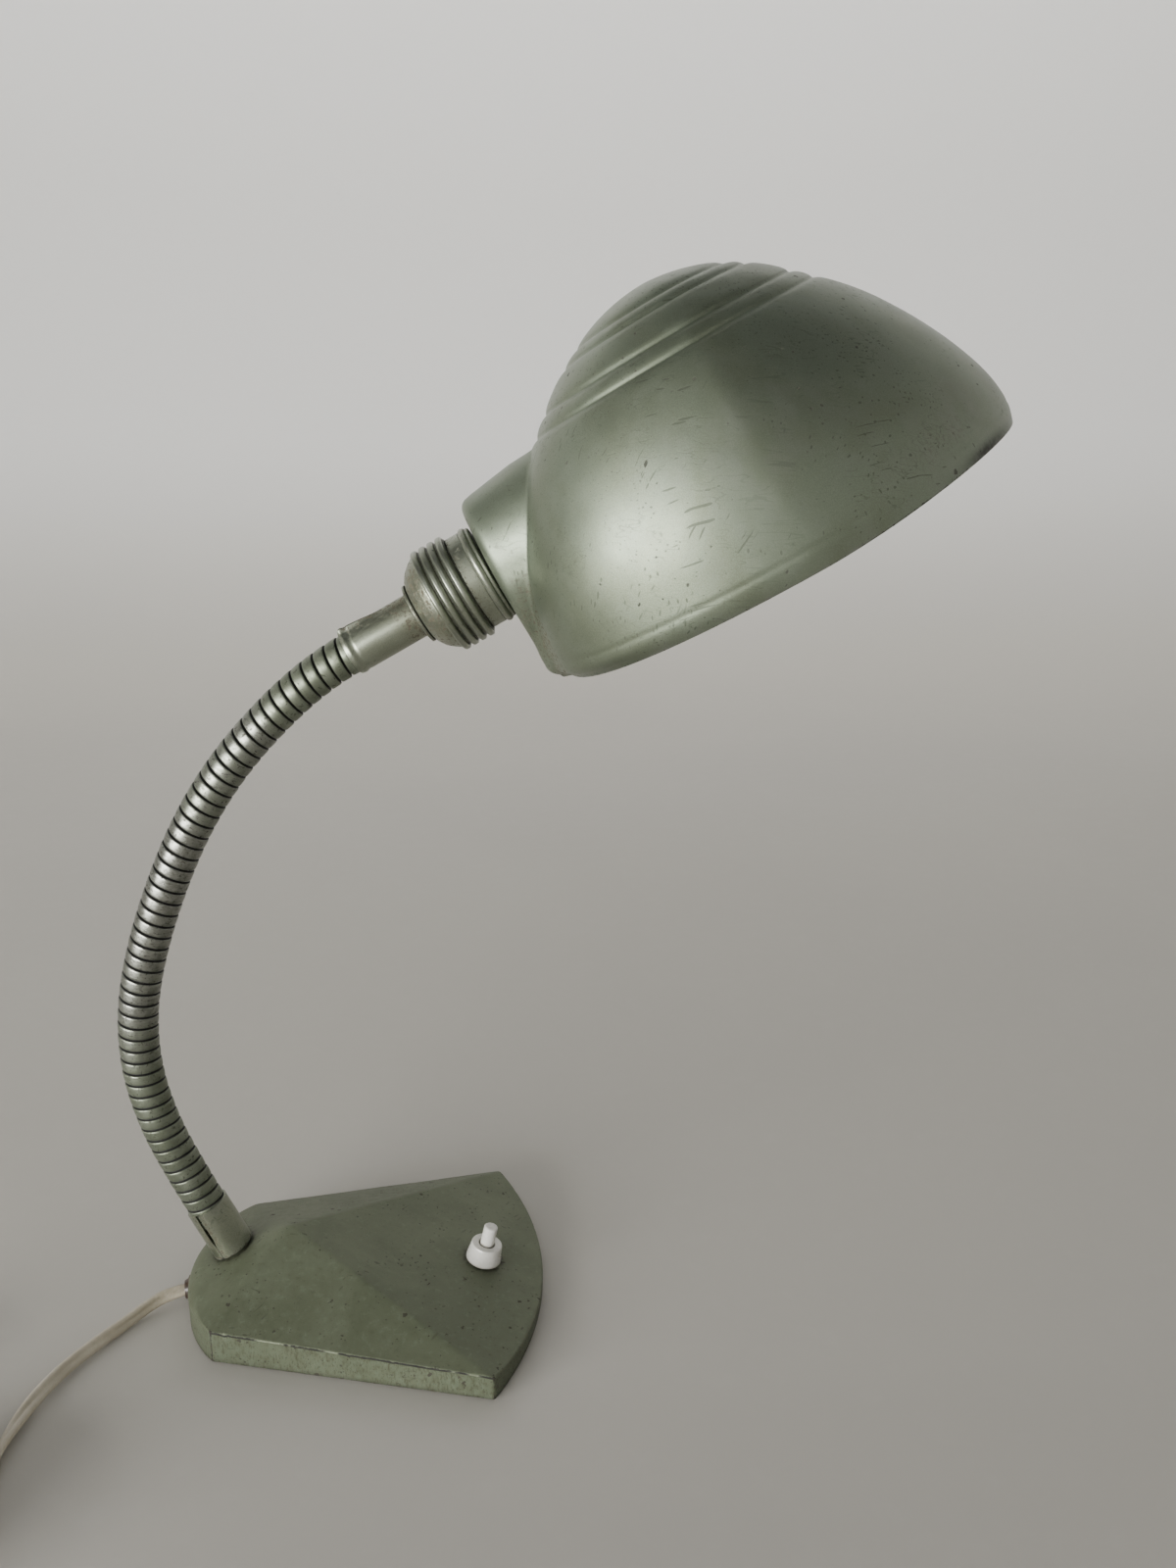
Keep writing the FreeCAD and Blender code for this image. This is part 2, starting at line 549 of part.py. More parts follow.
node(turned("holder_shell", [
    ("16.3", "44"), ("17.4", "44"), ("17.4", "cap_end + 0.1"), ("shell_radius", "cap_end + 0.1"), ("shell_radius", "bead_at - 1.3"),
    ("bead_radius", "bead_at - 0.5"), ("bead_radius", "bead_at + 0.5"), ("shell_radius", "bead_at + 1.3"),
    ("shell_radius", "shell_end - 0.3"), ("shell_radius - 0.3", "shell_end"), ("nose_radius", "shell_end"), ("nose_radius", "nose_end"),
    ("nose_bore", "nose_end"), ("nose_bore", "shell_end - 1.2"), ("16.3", "shell_end - 1.2")], HP), "holder_shell")
node(turned("holder_core", [
    ("1.6", "44.6"), ("16.2", "44.6"), ("16.2", "51.5"), ("12.8", "51.5"), ("12.8", "52.4"), ("1.6", "52.4")], HP), "holder_core")
node(turned("holder_screw_shell", [
    ("13.25", "53.6"), ("13.65", "53.6"), ("13.65", "74.6"), ("13.25", "74.6")], HP), "holder_screw_shell")
c1 = cyl("centre_contact", 3.2, 1.5, HP.multiply(FreeCAD.Placement(V(0, 0, 52.45), FreeCAD.Rotation())))
c2 = box("side_contact", 2.4, 3.0, 1.1, HP.multiply(FreeCAD.Placement(V(-12.6, -1.5, 52.45), FreeCAD.Rotation())))
node(group("g_contacts", c1, c2), "holder_contacts")


def hscrew(name, y):
    head = cyl(name + "_h", 2.4, 1.3)
    shank = cyl(name + "_s", 1.2, 2.0, at((0, 0, 1.25)))
    o = fuse(name, head, shank)
    o.Placement = HP.multiply(FreeCAD.Placement(V(0, y, 41.3), FreeCAD.Rotation()))
    return o


node(group("g_hscrews", hscrew("hs_a", 8.5), hscrew("hs_b", -8.5)), "holder_terminal_screws")
node(turned("shade_ring", [
    ("nose_radius + 0.06", "shade_back + shade_wall + 0.4"), ("21.0", "shade_back + shade_wall + 0.4"), ("21.0", "shade_back + shade_wall + 2.0"),
    ("18.2", "shade_back + shade_wall + 2.8"), ("18.2", "shade_back + shade_wall + 6.8"), ("nose_radius + 0.06", "shade_back + shade_wall + 6.8")], HP), "shade_ring")
node(turned("bulb_cap", [
    ("0", "54.1"), ("4.6", "54.1"), ("6.0", "55.6"), ("10.5", "57.2"), ("13.0", "58.6"), ("13.0", "80.6"), ("12.2", "81.6"), ("12.2", "77.0"), ("0", "77.0")], HP), "bulb_cap")
gl = [("0", "77.1"), ("11.9", "77.1"), ("12.0", "82.5")]
for a in (-52, -38, -22, -5, 12, 30, 48, 66, 80):
    r = D["bulb_radius"] * math.cos(math.radians(a))
    z = D["bulb_at"] + D["bulb_radius"] * math.sin(math.radians(a))
    gl.append(("%.3f*bulb_radius" % (r / D["bulb_radius"]), "bulb_at + %.3f*bulb_radius" % ((z - D["bulb_at"]) / D["bulb_radius"])
               if z >= D["bulb_at"] else "bulb_at - %.3f*bulb_radius" % ((D["bulb_at"] - z) / D["bulb_radius"])))
gl.append(("0", "bulb_at + bulb_radius"))
node(turned("bulb_glass", gl, HP), "bulb_glass")
leads = []
for y, nm in ((8.5, "a"), (-8.5, "b")):
    leads.append(feature("hl_" + nm, round_path([(0, 0.16 * y, 37.0), (0, 0.45 * y, 38.9), (0, 0.9 * y, 40.0)], 0.7)[0], HP))
node(group("g_hleads", *leads), "holder_leads")

# ------------------------------------------------------------------ shade
# Sections of the bowl, level by level above the opening: level, back, front
LEVELS = [(-46.0, 62.9, 252.0), (-32.0, 63.4, 251.0), (-18.0, 65.2, 246.2), (-4.0, 69.8, 239.0), (10.0, 77.5, 230.0),
          (24.0, 88.0, 218.7), (36.0, 101.4, 206.0), (46.0, 114.4, 194.0), (53.0, 127.0, 182.0), (57.4, 140.0, 169.0)]
TOP_S = 155.0


def egg(back, front, half, level, count=36, inset=0.0):
    """Closed plan outline: blunt at the back, drawn out towards the tip."""
    b, f, w = back + inset, front - inset, half - inset
    mid = b + (f - b) * 0.48
    pts = []
    for j in range(count):
        t = 2 * math.pi * j / count
        c, s = math.cos(t), math.sin(t)
        narrow = 1 - (0.35 if c > 0 else 0.125) * abs(c) ** 1.5
        x = mid + c * ((f - mid) if c > 0 else (mid - b))
        pts.append(V(x, s * w * narrow, level))
    curve = Part.BSplineCurve()
    curve.interpolate(pts, PeriodicFlag=True)
    return Part.Wire([curve.toShape()])


def bowl(inset):
    wires = []
    lo = D["shade_rim"]
    hi = D["shade_top"]
    for k, (lev, b, f) in enumerate(LEVELS):
        u = (lev - lo) / (hi - lo)
        half = D["shade_half"] * (1 - u ** 2.25) ** (1 / 2.25)
        l2 = lev
        if inset:
            l2 = lev - inset * u
        wires.append(egg(b, f, half, l2, inset=inset * (1.0 + 0.15 * u)))
    if inset:
        low = wires[0].copy()
        low.translate(V(0, 0, -2.0))
        wires = [low] + wires
    top = Part.Vertex(V(TOP_S, 0, hi - inset))
    return Part.makeLoft(wires + [top], True, False)


def boss(inset):
    def u_wire(s, r, drop):
        return Part.Wire([Part.LineSegment(V(s, -r, drop), V(s, -r, 0)).toShape(),
                          Part.Arc(V(s, -r, 0), V(s, 0, r), V(s, r, 0)).toShape(),
                          Part.LineSegment(V(s, r, 0), V(s, r, drop)).toShape(),
                          Part.LineSegment(V(s, r, drop), V(s, -r, drop)).toShape()])
    drop = D["shade_rim"] - (2.0 if inset else 0.0)
    s0 = D["shade_back"] + inset
    return Part.makeLoft([u_wire(s0, D["boss_radius"] - inset, drop),
                          u_wire(D["boss_end"], D["boss_flare"] - inset, drop)], True, True)


# frame of the shade: X along the lampholder's axis, Z away from the opening
S_PL = frame_of(H0, V(math.cos(h_head), 0, math.sin(h_head)), V(0, 1, 0))
w = D["shade_wall"]
shade = bowl(0).fuse(boss(0))
hollow = bowl(w).fuse(boss(w))
shade = shade.cut(hollow)
shade = shade.cut(Part.makeCylinder(D["nose_radius"] + 0.06, 6, V(D["shade_back"] - 2, 0, 0), V(1, 0, 0)))
print("shade solids", len(shade.Solids), "volume", round(shade.Volume))
node(feature("shade", shade, S_PL), "shade")

# ------------------------------------------------------------------ cord and what is on it
EB = FreeCAD.Placement(EP - ED * 17.4, E_ROT)
node(turned("cord_bush", [
    ("2.75", "0"), ("3.4", "0"), ("3.5", "11.6"), ("4.4", "11.8"), ("4.4", "16.8"), ("5.4", "16.9"), ("5.4", "18.0"), ("4.2", "18.6"), ("3.5", "20.0"), ("2.75", "20.0")], EB), "cord_bush")
start = EP + ED * 2.6
cx, cy, rm, stp = D["coil_x"], D["coil_y"], D["coil_mid"], D["coil_step"]
rc = D["cord_radius"]
z1 = 2.8
ROUTE = [(start.x, start.y, start.z), (-82.6, -6.6, 4.9), (-89.2, -12.0, 3.7), (-95.4, -20.6, 2.8), (-103.2, -31.8, 2.8),
         (-111.0, -45.2, 2.8), (-116.4, -60.8, 2.8), (-118.9, -78.6, 2.8), (-118.6, -96.6, 2.8), (cx + rm + stp - 0.3, -112.6, 2.8),
         (cx + rm + stp, cy, 2.8)]
tube, length, radii = round_path(ROUTE, rc)
print("cord_tube length %.1f volume %.1f expected %.1f" % (length, tube.Volume, math.pi * rc * rc * length))
print("cord_tube radii", [round(r, 1) for r in radii])
node(feature("cord_tube", tube), "cord_tube")
ring_o = cyl("coil_o", "coil_mid + coil_step + cord_radius", "2*coil_step + 2*cord_radius", at((cx, cy, 0.1)))
ring_i = cyl("coil_i", "coil_mid - coil_step - cord_radius", "40", at((cx, cy, -5)))
node(cut("coil_cut", ring_o, ring_i), "cord_coil")
wx = cx - rm - stp
TAIL = [(wx, cy, z1 + 2 * stp), (wx - 0.6, cy + 14.0, z1 + 2 * stp - 0.6), (wx - 1.0, cy + 28.0, 11.6), (wx - 0.9, cy + 40.0, 8.6), (wx - 0.9, cy + 50.0, 6.9)]
tail, tlen, tradii = round_path(TAIL, rc)
print("cord_tail length %.1f volume %.1f expected %.1f" % (tlen, tail.Volume, math.pi * rc * rc * tlen))
print("cord_tail radii", [round(r, 1) for r in tradii])
node(feature("cord_tail", tail), "cord_tail")
px, py, pz = wx - 0.9, cy + 50.0, 6.9
plug = Part.makeBox(31.0, 25.0, 13.2, V(px - 15.5, py + 12.0, pz - 6.6))
plug = plug.makeFillet(3.2, [e for e in plug.Edges if abs(e.tangentAt(e.FirstParameter).y) > 0.9])
neckp = Part.makeCone(3.6, 5.8, 13.0, V(px, py, pz), V(0, 1, 0))
plug = plug.fuse(neckp)
for sx in (-9.3, 9.3):
    plug = plug.cut(Part.makeCylinder(1.2, 8.0, V(px + sx, py + 30.0, pz), V(0, 1, 0)))
node(feature("plug_body", plug.removeSplitter()), "plug_body")
pins = []
for j, sx in enumerate((-9.3, 9.3)):
    p1 = cyl("pin_%d" % j, 2.0, 18.0, FreeCAD.Placement(V(px + sx, py + 37.05, pz), FreeCAD.Rotation(V(0, 0, 1), V(0, 1, 0))))
    p2 = cyl("pin_tail_%d" % j, 1.15, 7.0, FreeCAD.Placement(V(px + sx, py + 30.6, pz), FreeCAD.Rotation(V(0, 0, 1), V(0, 1, 0))))
    pins.append(fuse("pin_f_%d" % j, p1, p2))
node(group("g_pins", *pins), "plug_pins")

# leads inside the base
la, _, _ = round_path([(-55.8, 1.8, 5.2), (-44.0, 6.0, 5.0), (-20.0, 12.0, 4.6), (14.0, 14.0, 4.4), (34.0, 13.0, 4.3), (45.5, 11.8, 4.3)], 1.1)
lb, _, _ = round_path([(-55.8, -1.4, 5.2), (-44.0, -6.0, 5.0), (-20.0, -13.0, 4.6), (14.0, -14.0, 4.4), (34.0, -13.0, 4.3), (45.5, -11.8, 4.3)], 1.1)
node(group("g_leads", feature("lead_a", la), feature("lead_b", lb)), "base_leads")

# ------------------------------------------------------------------ check and write
doc.recompute()
bad = []
for o in doc.Objects:
    if "Invalid" in o.State or "Error" in o.State:
        bad.append((o.Name, o.State))
for o in NODES:
    if o.Shape.isNull() or not o.Shape.isValid() or not o.Shape.Solids or o.Shape.Volume <= 0:
        bad.append((o.Label, "shape"))
if bad:
    raise RuntimeError("failed objects: %s" % bad)
print("joints along the neck:")
for i in range(1, 10):
    p, hd = PATH[i]
    print("  joint %d at (%.5f, 0, %.5f) heading %.3f" % (i, p.x, p.z, math.degrees(hd)))
print("head at (%.4f, %.4f) heading %.3f" % (H0.x, H0.z, math.degrees(h_head)))
print("switch at (%.4f, 0, %.4f) normal (%.5f, 0, %.5f)" % (SW.x, SW.z, FN.x, FN.z))
turns = (1800.0 - length - tlen) / (2 * math.pi * rm)
print("coil turns for 1800 mm: %.2f" % turns)
os.makedirs("parts", exist_ok=True)
for o in NODES:
    if len(o.Shape.Solids) > 1 and o.Label in ("base_casting", "shade"):
        print("warning, several solids in", o.Label)
    o.Shape.exportStep("parts/%s.step" % o.Label)
print("nodes", len(NODES))
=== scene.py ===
import math
import bpy
import bmesh
import numpy as np
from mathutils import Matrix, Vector, noise


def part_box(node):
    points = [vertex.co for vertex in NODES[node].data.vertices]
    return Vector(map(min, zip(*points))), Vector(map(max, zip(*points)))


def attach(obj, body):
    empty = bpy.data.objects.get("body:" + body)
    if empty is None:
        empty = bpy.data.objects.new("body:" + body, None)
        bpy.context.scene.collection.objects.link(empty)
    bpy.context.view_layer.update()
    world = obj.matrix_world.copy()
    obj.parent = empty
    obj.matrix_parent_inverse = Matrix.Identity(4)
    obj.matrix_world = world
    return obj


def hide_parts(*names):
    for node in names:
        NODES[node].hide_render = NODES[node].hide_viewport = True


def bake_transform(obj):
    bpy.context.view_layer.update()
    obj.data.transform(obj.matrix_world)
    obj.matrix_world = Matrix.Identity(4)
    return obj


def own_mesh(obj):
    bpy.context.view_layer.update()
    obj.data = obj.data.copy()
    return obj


# Gooseneck desk lamp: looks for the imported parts. Lengths are worked out in millimetres in the
# part's own frame and turned into metres as each mesh is made.
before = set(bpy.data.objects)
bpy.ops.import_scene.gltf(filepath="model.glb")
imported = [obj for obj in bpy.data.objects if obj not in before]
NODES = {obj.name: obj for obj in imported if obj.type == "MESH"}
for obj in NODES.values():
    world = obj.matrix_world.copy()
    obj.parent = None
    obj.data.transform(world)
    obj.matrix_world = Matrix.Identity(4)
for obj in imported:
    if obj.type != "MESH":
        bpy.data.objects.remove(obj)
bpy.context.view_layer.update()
scene = bpy.context.scene
K = 0.001

# ------------------------------------------------------------------ camera
cam_data = bpy.data.cameras.new("camera")
cam = bpy.data.objects.new("camera", cam_data)
scene.collection.objects.link(cam)
cam.location = (0.06763, -0.44148, 0.3316)
cam.rotation_euler = (math.radians(90 - 14.2), 0.0, math.radians(-3.28))
cam_data.sensor_width = 36.0
cam_data.lens = 27.19
cam_data.clip_start = 0.01
scene.camera = cam


# ------------------------------------------------------------------ material helpers
class Graph:
    """Short forms for the nodes that the finishes below share."""

    def __init__(self, name):
        self.mat = bpy.data.materials.new(name)
        self.mat.use_nodes = True
        self.tree = self.mat.node_tree
        self.n = self.tree.nodes
        self.l = self.tree.links
        self.n.clear()
        self.out = self.n.new("ShaderNodeOutputMaterial")
        self.bsdf = self.n.new("ShaderNodeBsdfPrincipled")
        self.l.new(self.bsdf.outputs[0], self.out.inputs["Surface"])
        tc = self.n.new("ShaderNodeTexCoord")
        self.obj = tc.outputs["Object"]
        self.uv = tc.outputs["UV"]
        self.mm = self.map(self.obj, scale=(1000, 1000, 1000))

    def put(self, socket, value):
        if isinstance(value, bpy.types.NodeSocket):
            self.l.new(value, socket)
        else:
            socket.default_value = value

    def map(self, vec, scale=(1, 1, 1), rot=(0, 0, 0), loc=(0, 0, 0)):
        m = self.n.new("ShaderNodeMapping")
        self.put(m.inputs["Vector"], vec)
        m.inputs["Scale"].default_value = scale
        m.inputs["Rotation"].default_value = rot
        m.inputs["Location"].default_value = loc
        return m.outputs[0]

    def noise(self, vec, scale, detail=3.0, rough=0.5, warp=0.0, color=False):
        t = self.n.new("ShaderNodeTexNoise")
        self.put(t.inputs["Vector"], vec)
        t.inputs["Scale"].default_value = scale
        t.inputs["Detail"].default_value = detail
        t.inputs["Roughness"].default_value = rough
        t.inputs["Distortion"].default_value = warp
        return t.outputs["Color" if color else "Fac"]

    def cells(self, vec, scale, feature="F1", rand=1.0):
        t = self.n.new("ShaderNodeTexVoronoi")
        t.feature = feature
        self.put(t.inputs["Vector"], vec)
        t.inputs["Scale"].default_value = scale
        t.inputs["Randomness"].default_value = rand
        return t.outputs

    def m(self, op, a, b=0.0, c=None, clamp=False):
        t = self.n.new("ShaderNodeMath")
        t.operation = op
        t.use_clamp = clamp
        self.put(t.inputs[0], a)
        self.put(t.inputs[1], b)
        if c is not None:
            self.put(t.inputs[2], c)
        return t.outputs[0]

    def step(self, x, lo, hi, a=0.0, b=1.0):
        """a below lo, b above hi, smooth between."""
        t = self.n.new("ShaderNodeMapRange")
        t.interpolation_type = "SMOOTHSTEP"
        self.put(t.inputs["Value"], x)
        t.inputs["From Min"].default_value = lo
        t.inputs["From Max"].default_value = hi
        t.inputs["To Min"].default_value = a
        t.inputs["To Max"].default_value = b
        return t.outputs[0]

    def mix(self, fac, a, b, mode="MIX"):
        t = self.n.new("ShaderNodeMix")
        t.data_type = "RGBA"
        t.blend_type = mode
        self.put(t.inputs["Factor"], fac)
        self.put(t.inputs["A"], (*a, 1) if isinstance(a, tuple) else a)
        self.put(t.inputs["B"], (*b, 1) if isinstance(b, tuple) else b)
        return t.outputs["Result"]

    def fmix(self, fac, a, b):
        t = self.n.new("ShaderNodeMix")
        self.put(t.inputs["Factor"], fac)
        self.put(t.inputs["A"], a)
        self.put(t.inputs["B"], b)
        return t.outputs["Result"]

    def attr(self, name):
        t = self.n.new("ShaderNodeAttribute")
        t.attribute_name = name
        return t.outputs["Fac"]

    def bump(self, height, strength, distance, normal=None):
        t = self.n.new("ShaderNodeBump")
        t.inputs["Strength"].default_value = strength
        t.inputs["Distance"].default_value = distance
        self.put(t.inputs["Height"], height)
        if normal is not None:
            self.put(t.inputs["Normal"], normal)
        return t.outputs[0]

    def any_of(self, *masks):
        out = masks[0]
        for x in masks[1:]:
            out = self.m("MAXIMUM", out, x)
        return out

    def set(self, **kw):
        for k, v in kw.items():
            self.put(self.bsdf.inputs[k.replace("_", " ")], (*v, 1) if isinstance(v, tuple) and len(v) == 3 else v)
        return self.mat


def specks(g, scale, size, seed, few=0.5, wobble=0.35):
    """Small irregular spots. scale: spots per mm, size: largest radius in cells."""
    v = g.map(g.mm, loc=(seed * 13.7, seed * 7.1, seed * 3.3))
    w = g.n.new("ShaderNodeVectorMath")
    w.operation = "MULTIPLY_ADD"
    g.put(w.inputs[0], g.noise(v, scale * 3.0, 3, color=True))
    w.inputs[1].default_value = (wobble / scale,) * 3
    g.put(w.inputs[2], v)
    c = g.cells(w.outputs[0], scale)
    split = g.n.new("ShaderNodeSeparateColor")
    g.put(split.inputs[0], c["Color"])
    pick = g.m("POWER", split.outputs[0], 2.2)
    radius = g.m("MULTIPLY", pick, size)
    gap = g.m("SUBTRACT", radius, c["Distance"])
    spot = g.step(gap, 0.0, size * 0.12)
    return g.m("MULTIPLY", spot, g.step(g.noise(v, scale * 0.14, 2), few, few + 0.12))


def hairs(g, rot, along, across, seed, width=0.006, keep=0.56):
    """Fine scratches that run one way, broken into short lengths."""
    v = g.map(g.mm, scale=(along, across, across), rot=rot, loc=(seed * 5.1, seed * 2.3, seed))
    n = g.noise(v, 1.0, 1.5, 0.4, 0.15)
    line = g.m("ABSOLUTE", g.m("SUBTRACT", n, 0.5))
    line = g.step(line, width * 0.4, width, 1.0, 0.0)
    cut = g.step(g.noise(g.map(g.mm, loc=(seed * 31.0, 0, 0)), 0.07, 3, 0.6), keep, keep + 0.05)
    return g.m("MULTIPLY", line, cut)


def strokes(g, rot, along, across, seed, size=0.24, few=0.46):
    """Separate scratches with tapered ends, gently curved. along, across: cells per mm."""
    v = g.map(g.mm, loc=(seed * 9.1, seed * 4.7, seed * 2.9))
    w = g.n.new("ShaderNodeVectorMath")
    w.operation = "MULTIPLY_ADD"
    g.put(w.inputs[0], g.noise(v, 0.035, 2, color=True))
    w.inputs[1].default_value = (9.0, 9.0, 9.0)
    g.put(w.inputs[2], v)
    u = g.map(g.map(w.outputs[0], rot=rot), scale=(along, across, across))
    c = g.cells(u, 1.0)
    split = g.n.new("ShaderNodeSeparateColor")
    g.put(split.inputs[0], c["Color"])
    radius = g.m("MULTIPLY", g.m("POWER", split.outputs[0], 1.5), size)
    gap = g.m("SUBTRACT", radius, c["Distance"])
    line = g.step(gap, 0.0, size * 0.25)
    return g.m("MULTIPLY", line, g.step(g.noise(v, 0.03, 2), few, few + 0.1))


def lacquer(name, sage, olive, pale, metal=0.8, rough=0.36, grain=1.0, wear=1.0, spots=1.0, coat=0.12, bare=(0.25, 0.255, 0.235)):
    """Old metallic lacquer on sheet or cast metal: clouded colour, fine flake, hair scratches, pits, chips and rubbed
    places.
    Mesh attributes: rub 0-1 rubbed to dull metal, chip 0-1 where paint breaks off, rust 0-1 brown pitting, soot 0-1
    near-black mix for real soiling and for painted shade in seams, grooves and joints."""
    g = Graph(name)
    rub, chip, rust, grime_and_shade = (g.attr(a) for a in ("rub", "chip", "rust", "grime_and_shade"))
    cloud = g.noise(g.mm, 0.028, 4, 0.55, 0.6)
    cloud2 = g.noise(g.mm, 0.11, 5, 0.6, 0.3)
    flake = g.noise(g.mm, 3.2, 2, 0.5)
    col = g.mix(g.step(cloud, 0.34, 0.66), sage, olive)
    col = g.mix(g.step(cloud2, 0.45, 0.75, 0.0, 0.22), col, pale)
    col = g.mix(g.m("MULTIPLY", g.step(flake, 0.35, 0.7), 0.14 * grain), col, tuple(min(1, x * 1.7) for x in pale))
    col = g.mix(g.m("MULTIPLY", g.step(flake, 0.6, 0.35), 0.10 * grain), col, tuple(x * 0.45 for x in olive))
    # rubbed places show a greyer, smoother metal
    rubbed = g.m("MULTIPLY", rub, g.step(g.noise(g.mm, 0.11, 5, 0.6), 0.30, 0.72))
    col = g.mix(g.m("MULTIPLY", rubbed, 0.55 * wear), col, bare)
    h1 = strokes(g, (0.3, 0.2, 0.5), 0.020, 0.50, 1, 0.26, 0.40)
    h2 = strokes(g, (0.9, -0.5, 1.9), 0.016, 0.60, 2, 0.26, 0.42)
    h3 = strokes(g, (-0.4, 1.1, 2.8), 0.030, 0.65, 3, 0.26, 0.42)
    h4 = strokes(g, (1.5, 0.4, 0.1), 0.012, 0.80, 4, 0.24, 0.44)
    h5 = hairs(g, (0.3, 0.2, 0.5), 0.030, 0.42, 5, 0.022, 0.53)
    hair = g.any_of(h1, h2, h3, h4, g.m("MULTIPLY", h5, 0.5))
    col = g.mix(g.m("MULTIPLY", hair, 0.50 * wear), col, tuple(x * 0.34 for x in olive))
    sp1 = specks(g, 0.13, 0.13 * spots, 1, 0.44)
    sp2 = specks(g, 0.27, 0.19 * spots, 2, 0.48)
    sp3 = specks(g, 0.62, 0.27 * spots, 3, 0.52)
    spot = g.any_of(sp1, sp2, g.m("MULTIPLY", sp3, 0.7))
    col = g.mix(g.m("MULTIPLY", spot, 0.82), col, (0.030, 0.028, 0.020))
    pit = g.m("MULTIPLY", g.step(rust, 0.05, 0.55), g.step(g.noise(g.mm, 0.75, 4, 0.68, 0.4), 0.535, 0.575))
    col = g.mix(g.m("MULTIPLY", pit, 0.9), col, (0.050, 0.035, 0.020))
    col = g.mix(g.m("MULTIPLY", rust, g.step(cloud2, 0.35, 0.7, 0.1, 0.45)), col, (0.16, 0.15, 0.09))
    broken = g.m("GREATER_THAN", g.m("ADD", chip, g.m("MULTIPLY", g.noise(g.mm, 0.55, 6, 0.72), 0.9)), 1.0)
    col = g.mix(g.m("MULTIPLY", broken, 0.92), col, (0.036, 0.033, 0.026))
    # painted shade: the soot mask darkens seams, grooves and joints to near black, together with real soiling
    grime_and_shade_mask = g.m("MULTIPLY", grime_and_shade, g.step(g.noise(g.mm, 0.5, 5, 0.6), 0.15, 0.6, 0.55, 1.0))
    col = g.mix(grime_and_shade_mask, col, (0.018, 0.018, 0.014))
    bad = g.any_of(spot, pit, broken, grime_and_shade_mask)
    r = g.m("ADD", g.step(cloud2, 0.3, 0.7, rough - 0.02, rough + 0.035), g.m("MULTIPLY", hair, 0.10))
    r = g.m("ADD", r, g.m("MULTIPLY", flake, 0.05))
    r = g.fmix(g.m("MULTIPLY", rubbed, 0.6), r, rough - 0.05)
    r = g.fmix(bad, r, 0.75)
    met = g.m("MULTIPLY", g.m("SUBTRACT", 1.0, g.m("MULTIPLY", bad, 0.9)), metal)
    height = g.m("ADD", g.m("MULTIPLY", g.noise(g.mm, 0.85, 3, 0.5), 0.35), g.m("MULTIPLY", flake, 0.22 * grain))
    height = g.m("SUBTRACT", height, g.m("MULTIPLY", bad, 0.9))
    height = g.m("SUBTRACT", height, g.m("MULTIPLY", hair, 0.3))
    nrm = g.bump(height, 0.32, 0.00012)
    dents = g.bump(g.noise(g.mm, 0.05, 2, 0.4), 0.14, 0.0006, nrm)
    g.set(Base_Color=col, Roughness=r, Metallic=met, Normal=dents)
    g.bsdf.inputs["Coat Weight"].default_value = coat
    g.bsdf.inputs["Coat Roughness"].default_value = 0.22
    g.bsdf.inputs["Specular IOR Level"].default_value = 0.45
    return g.mat


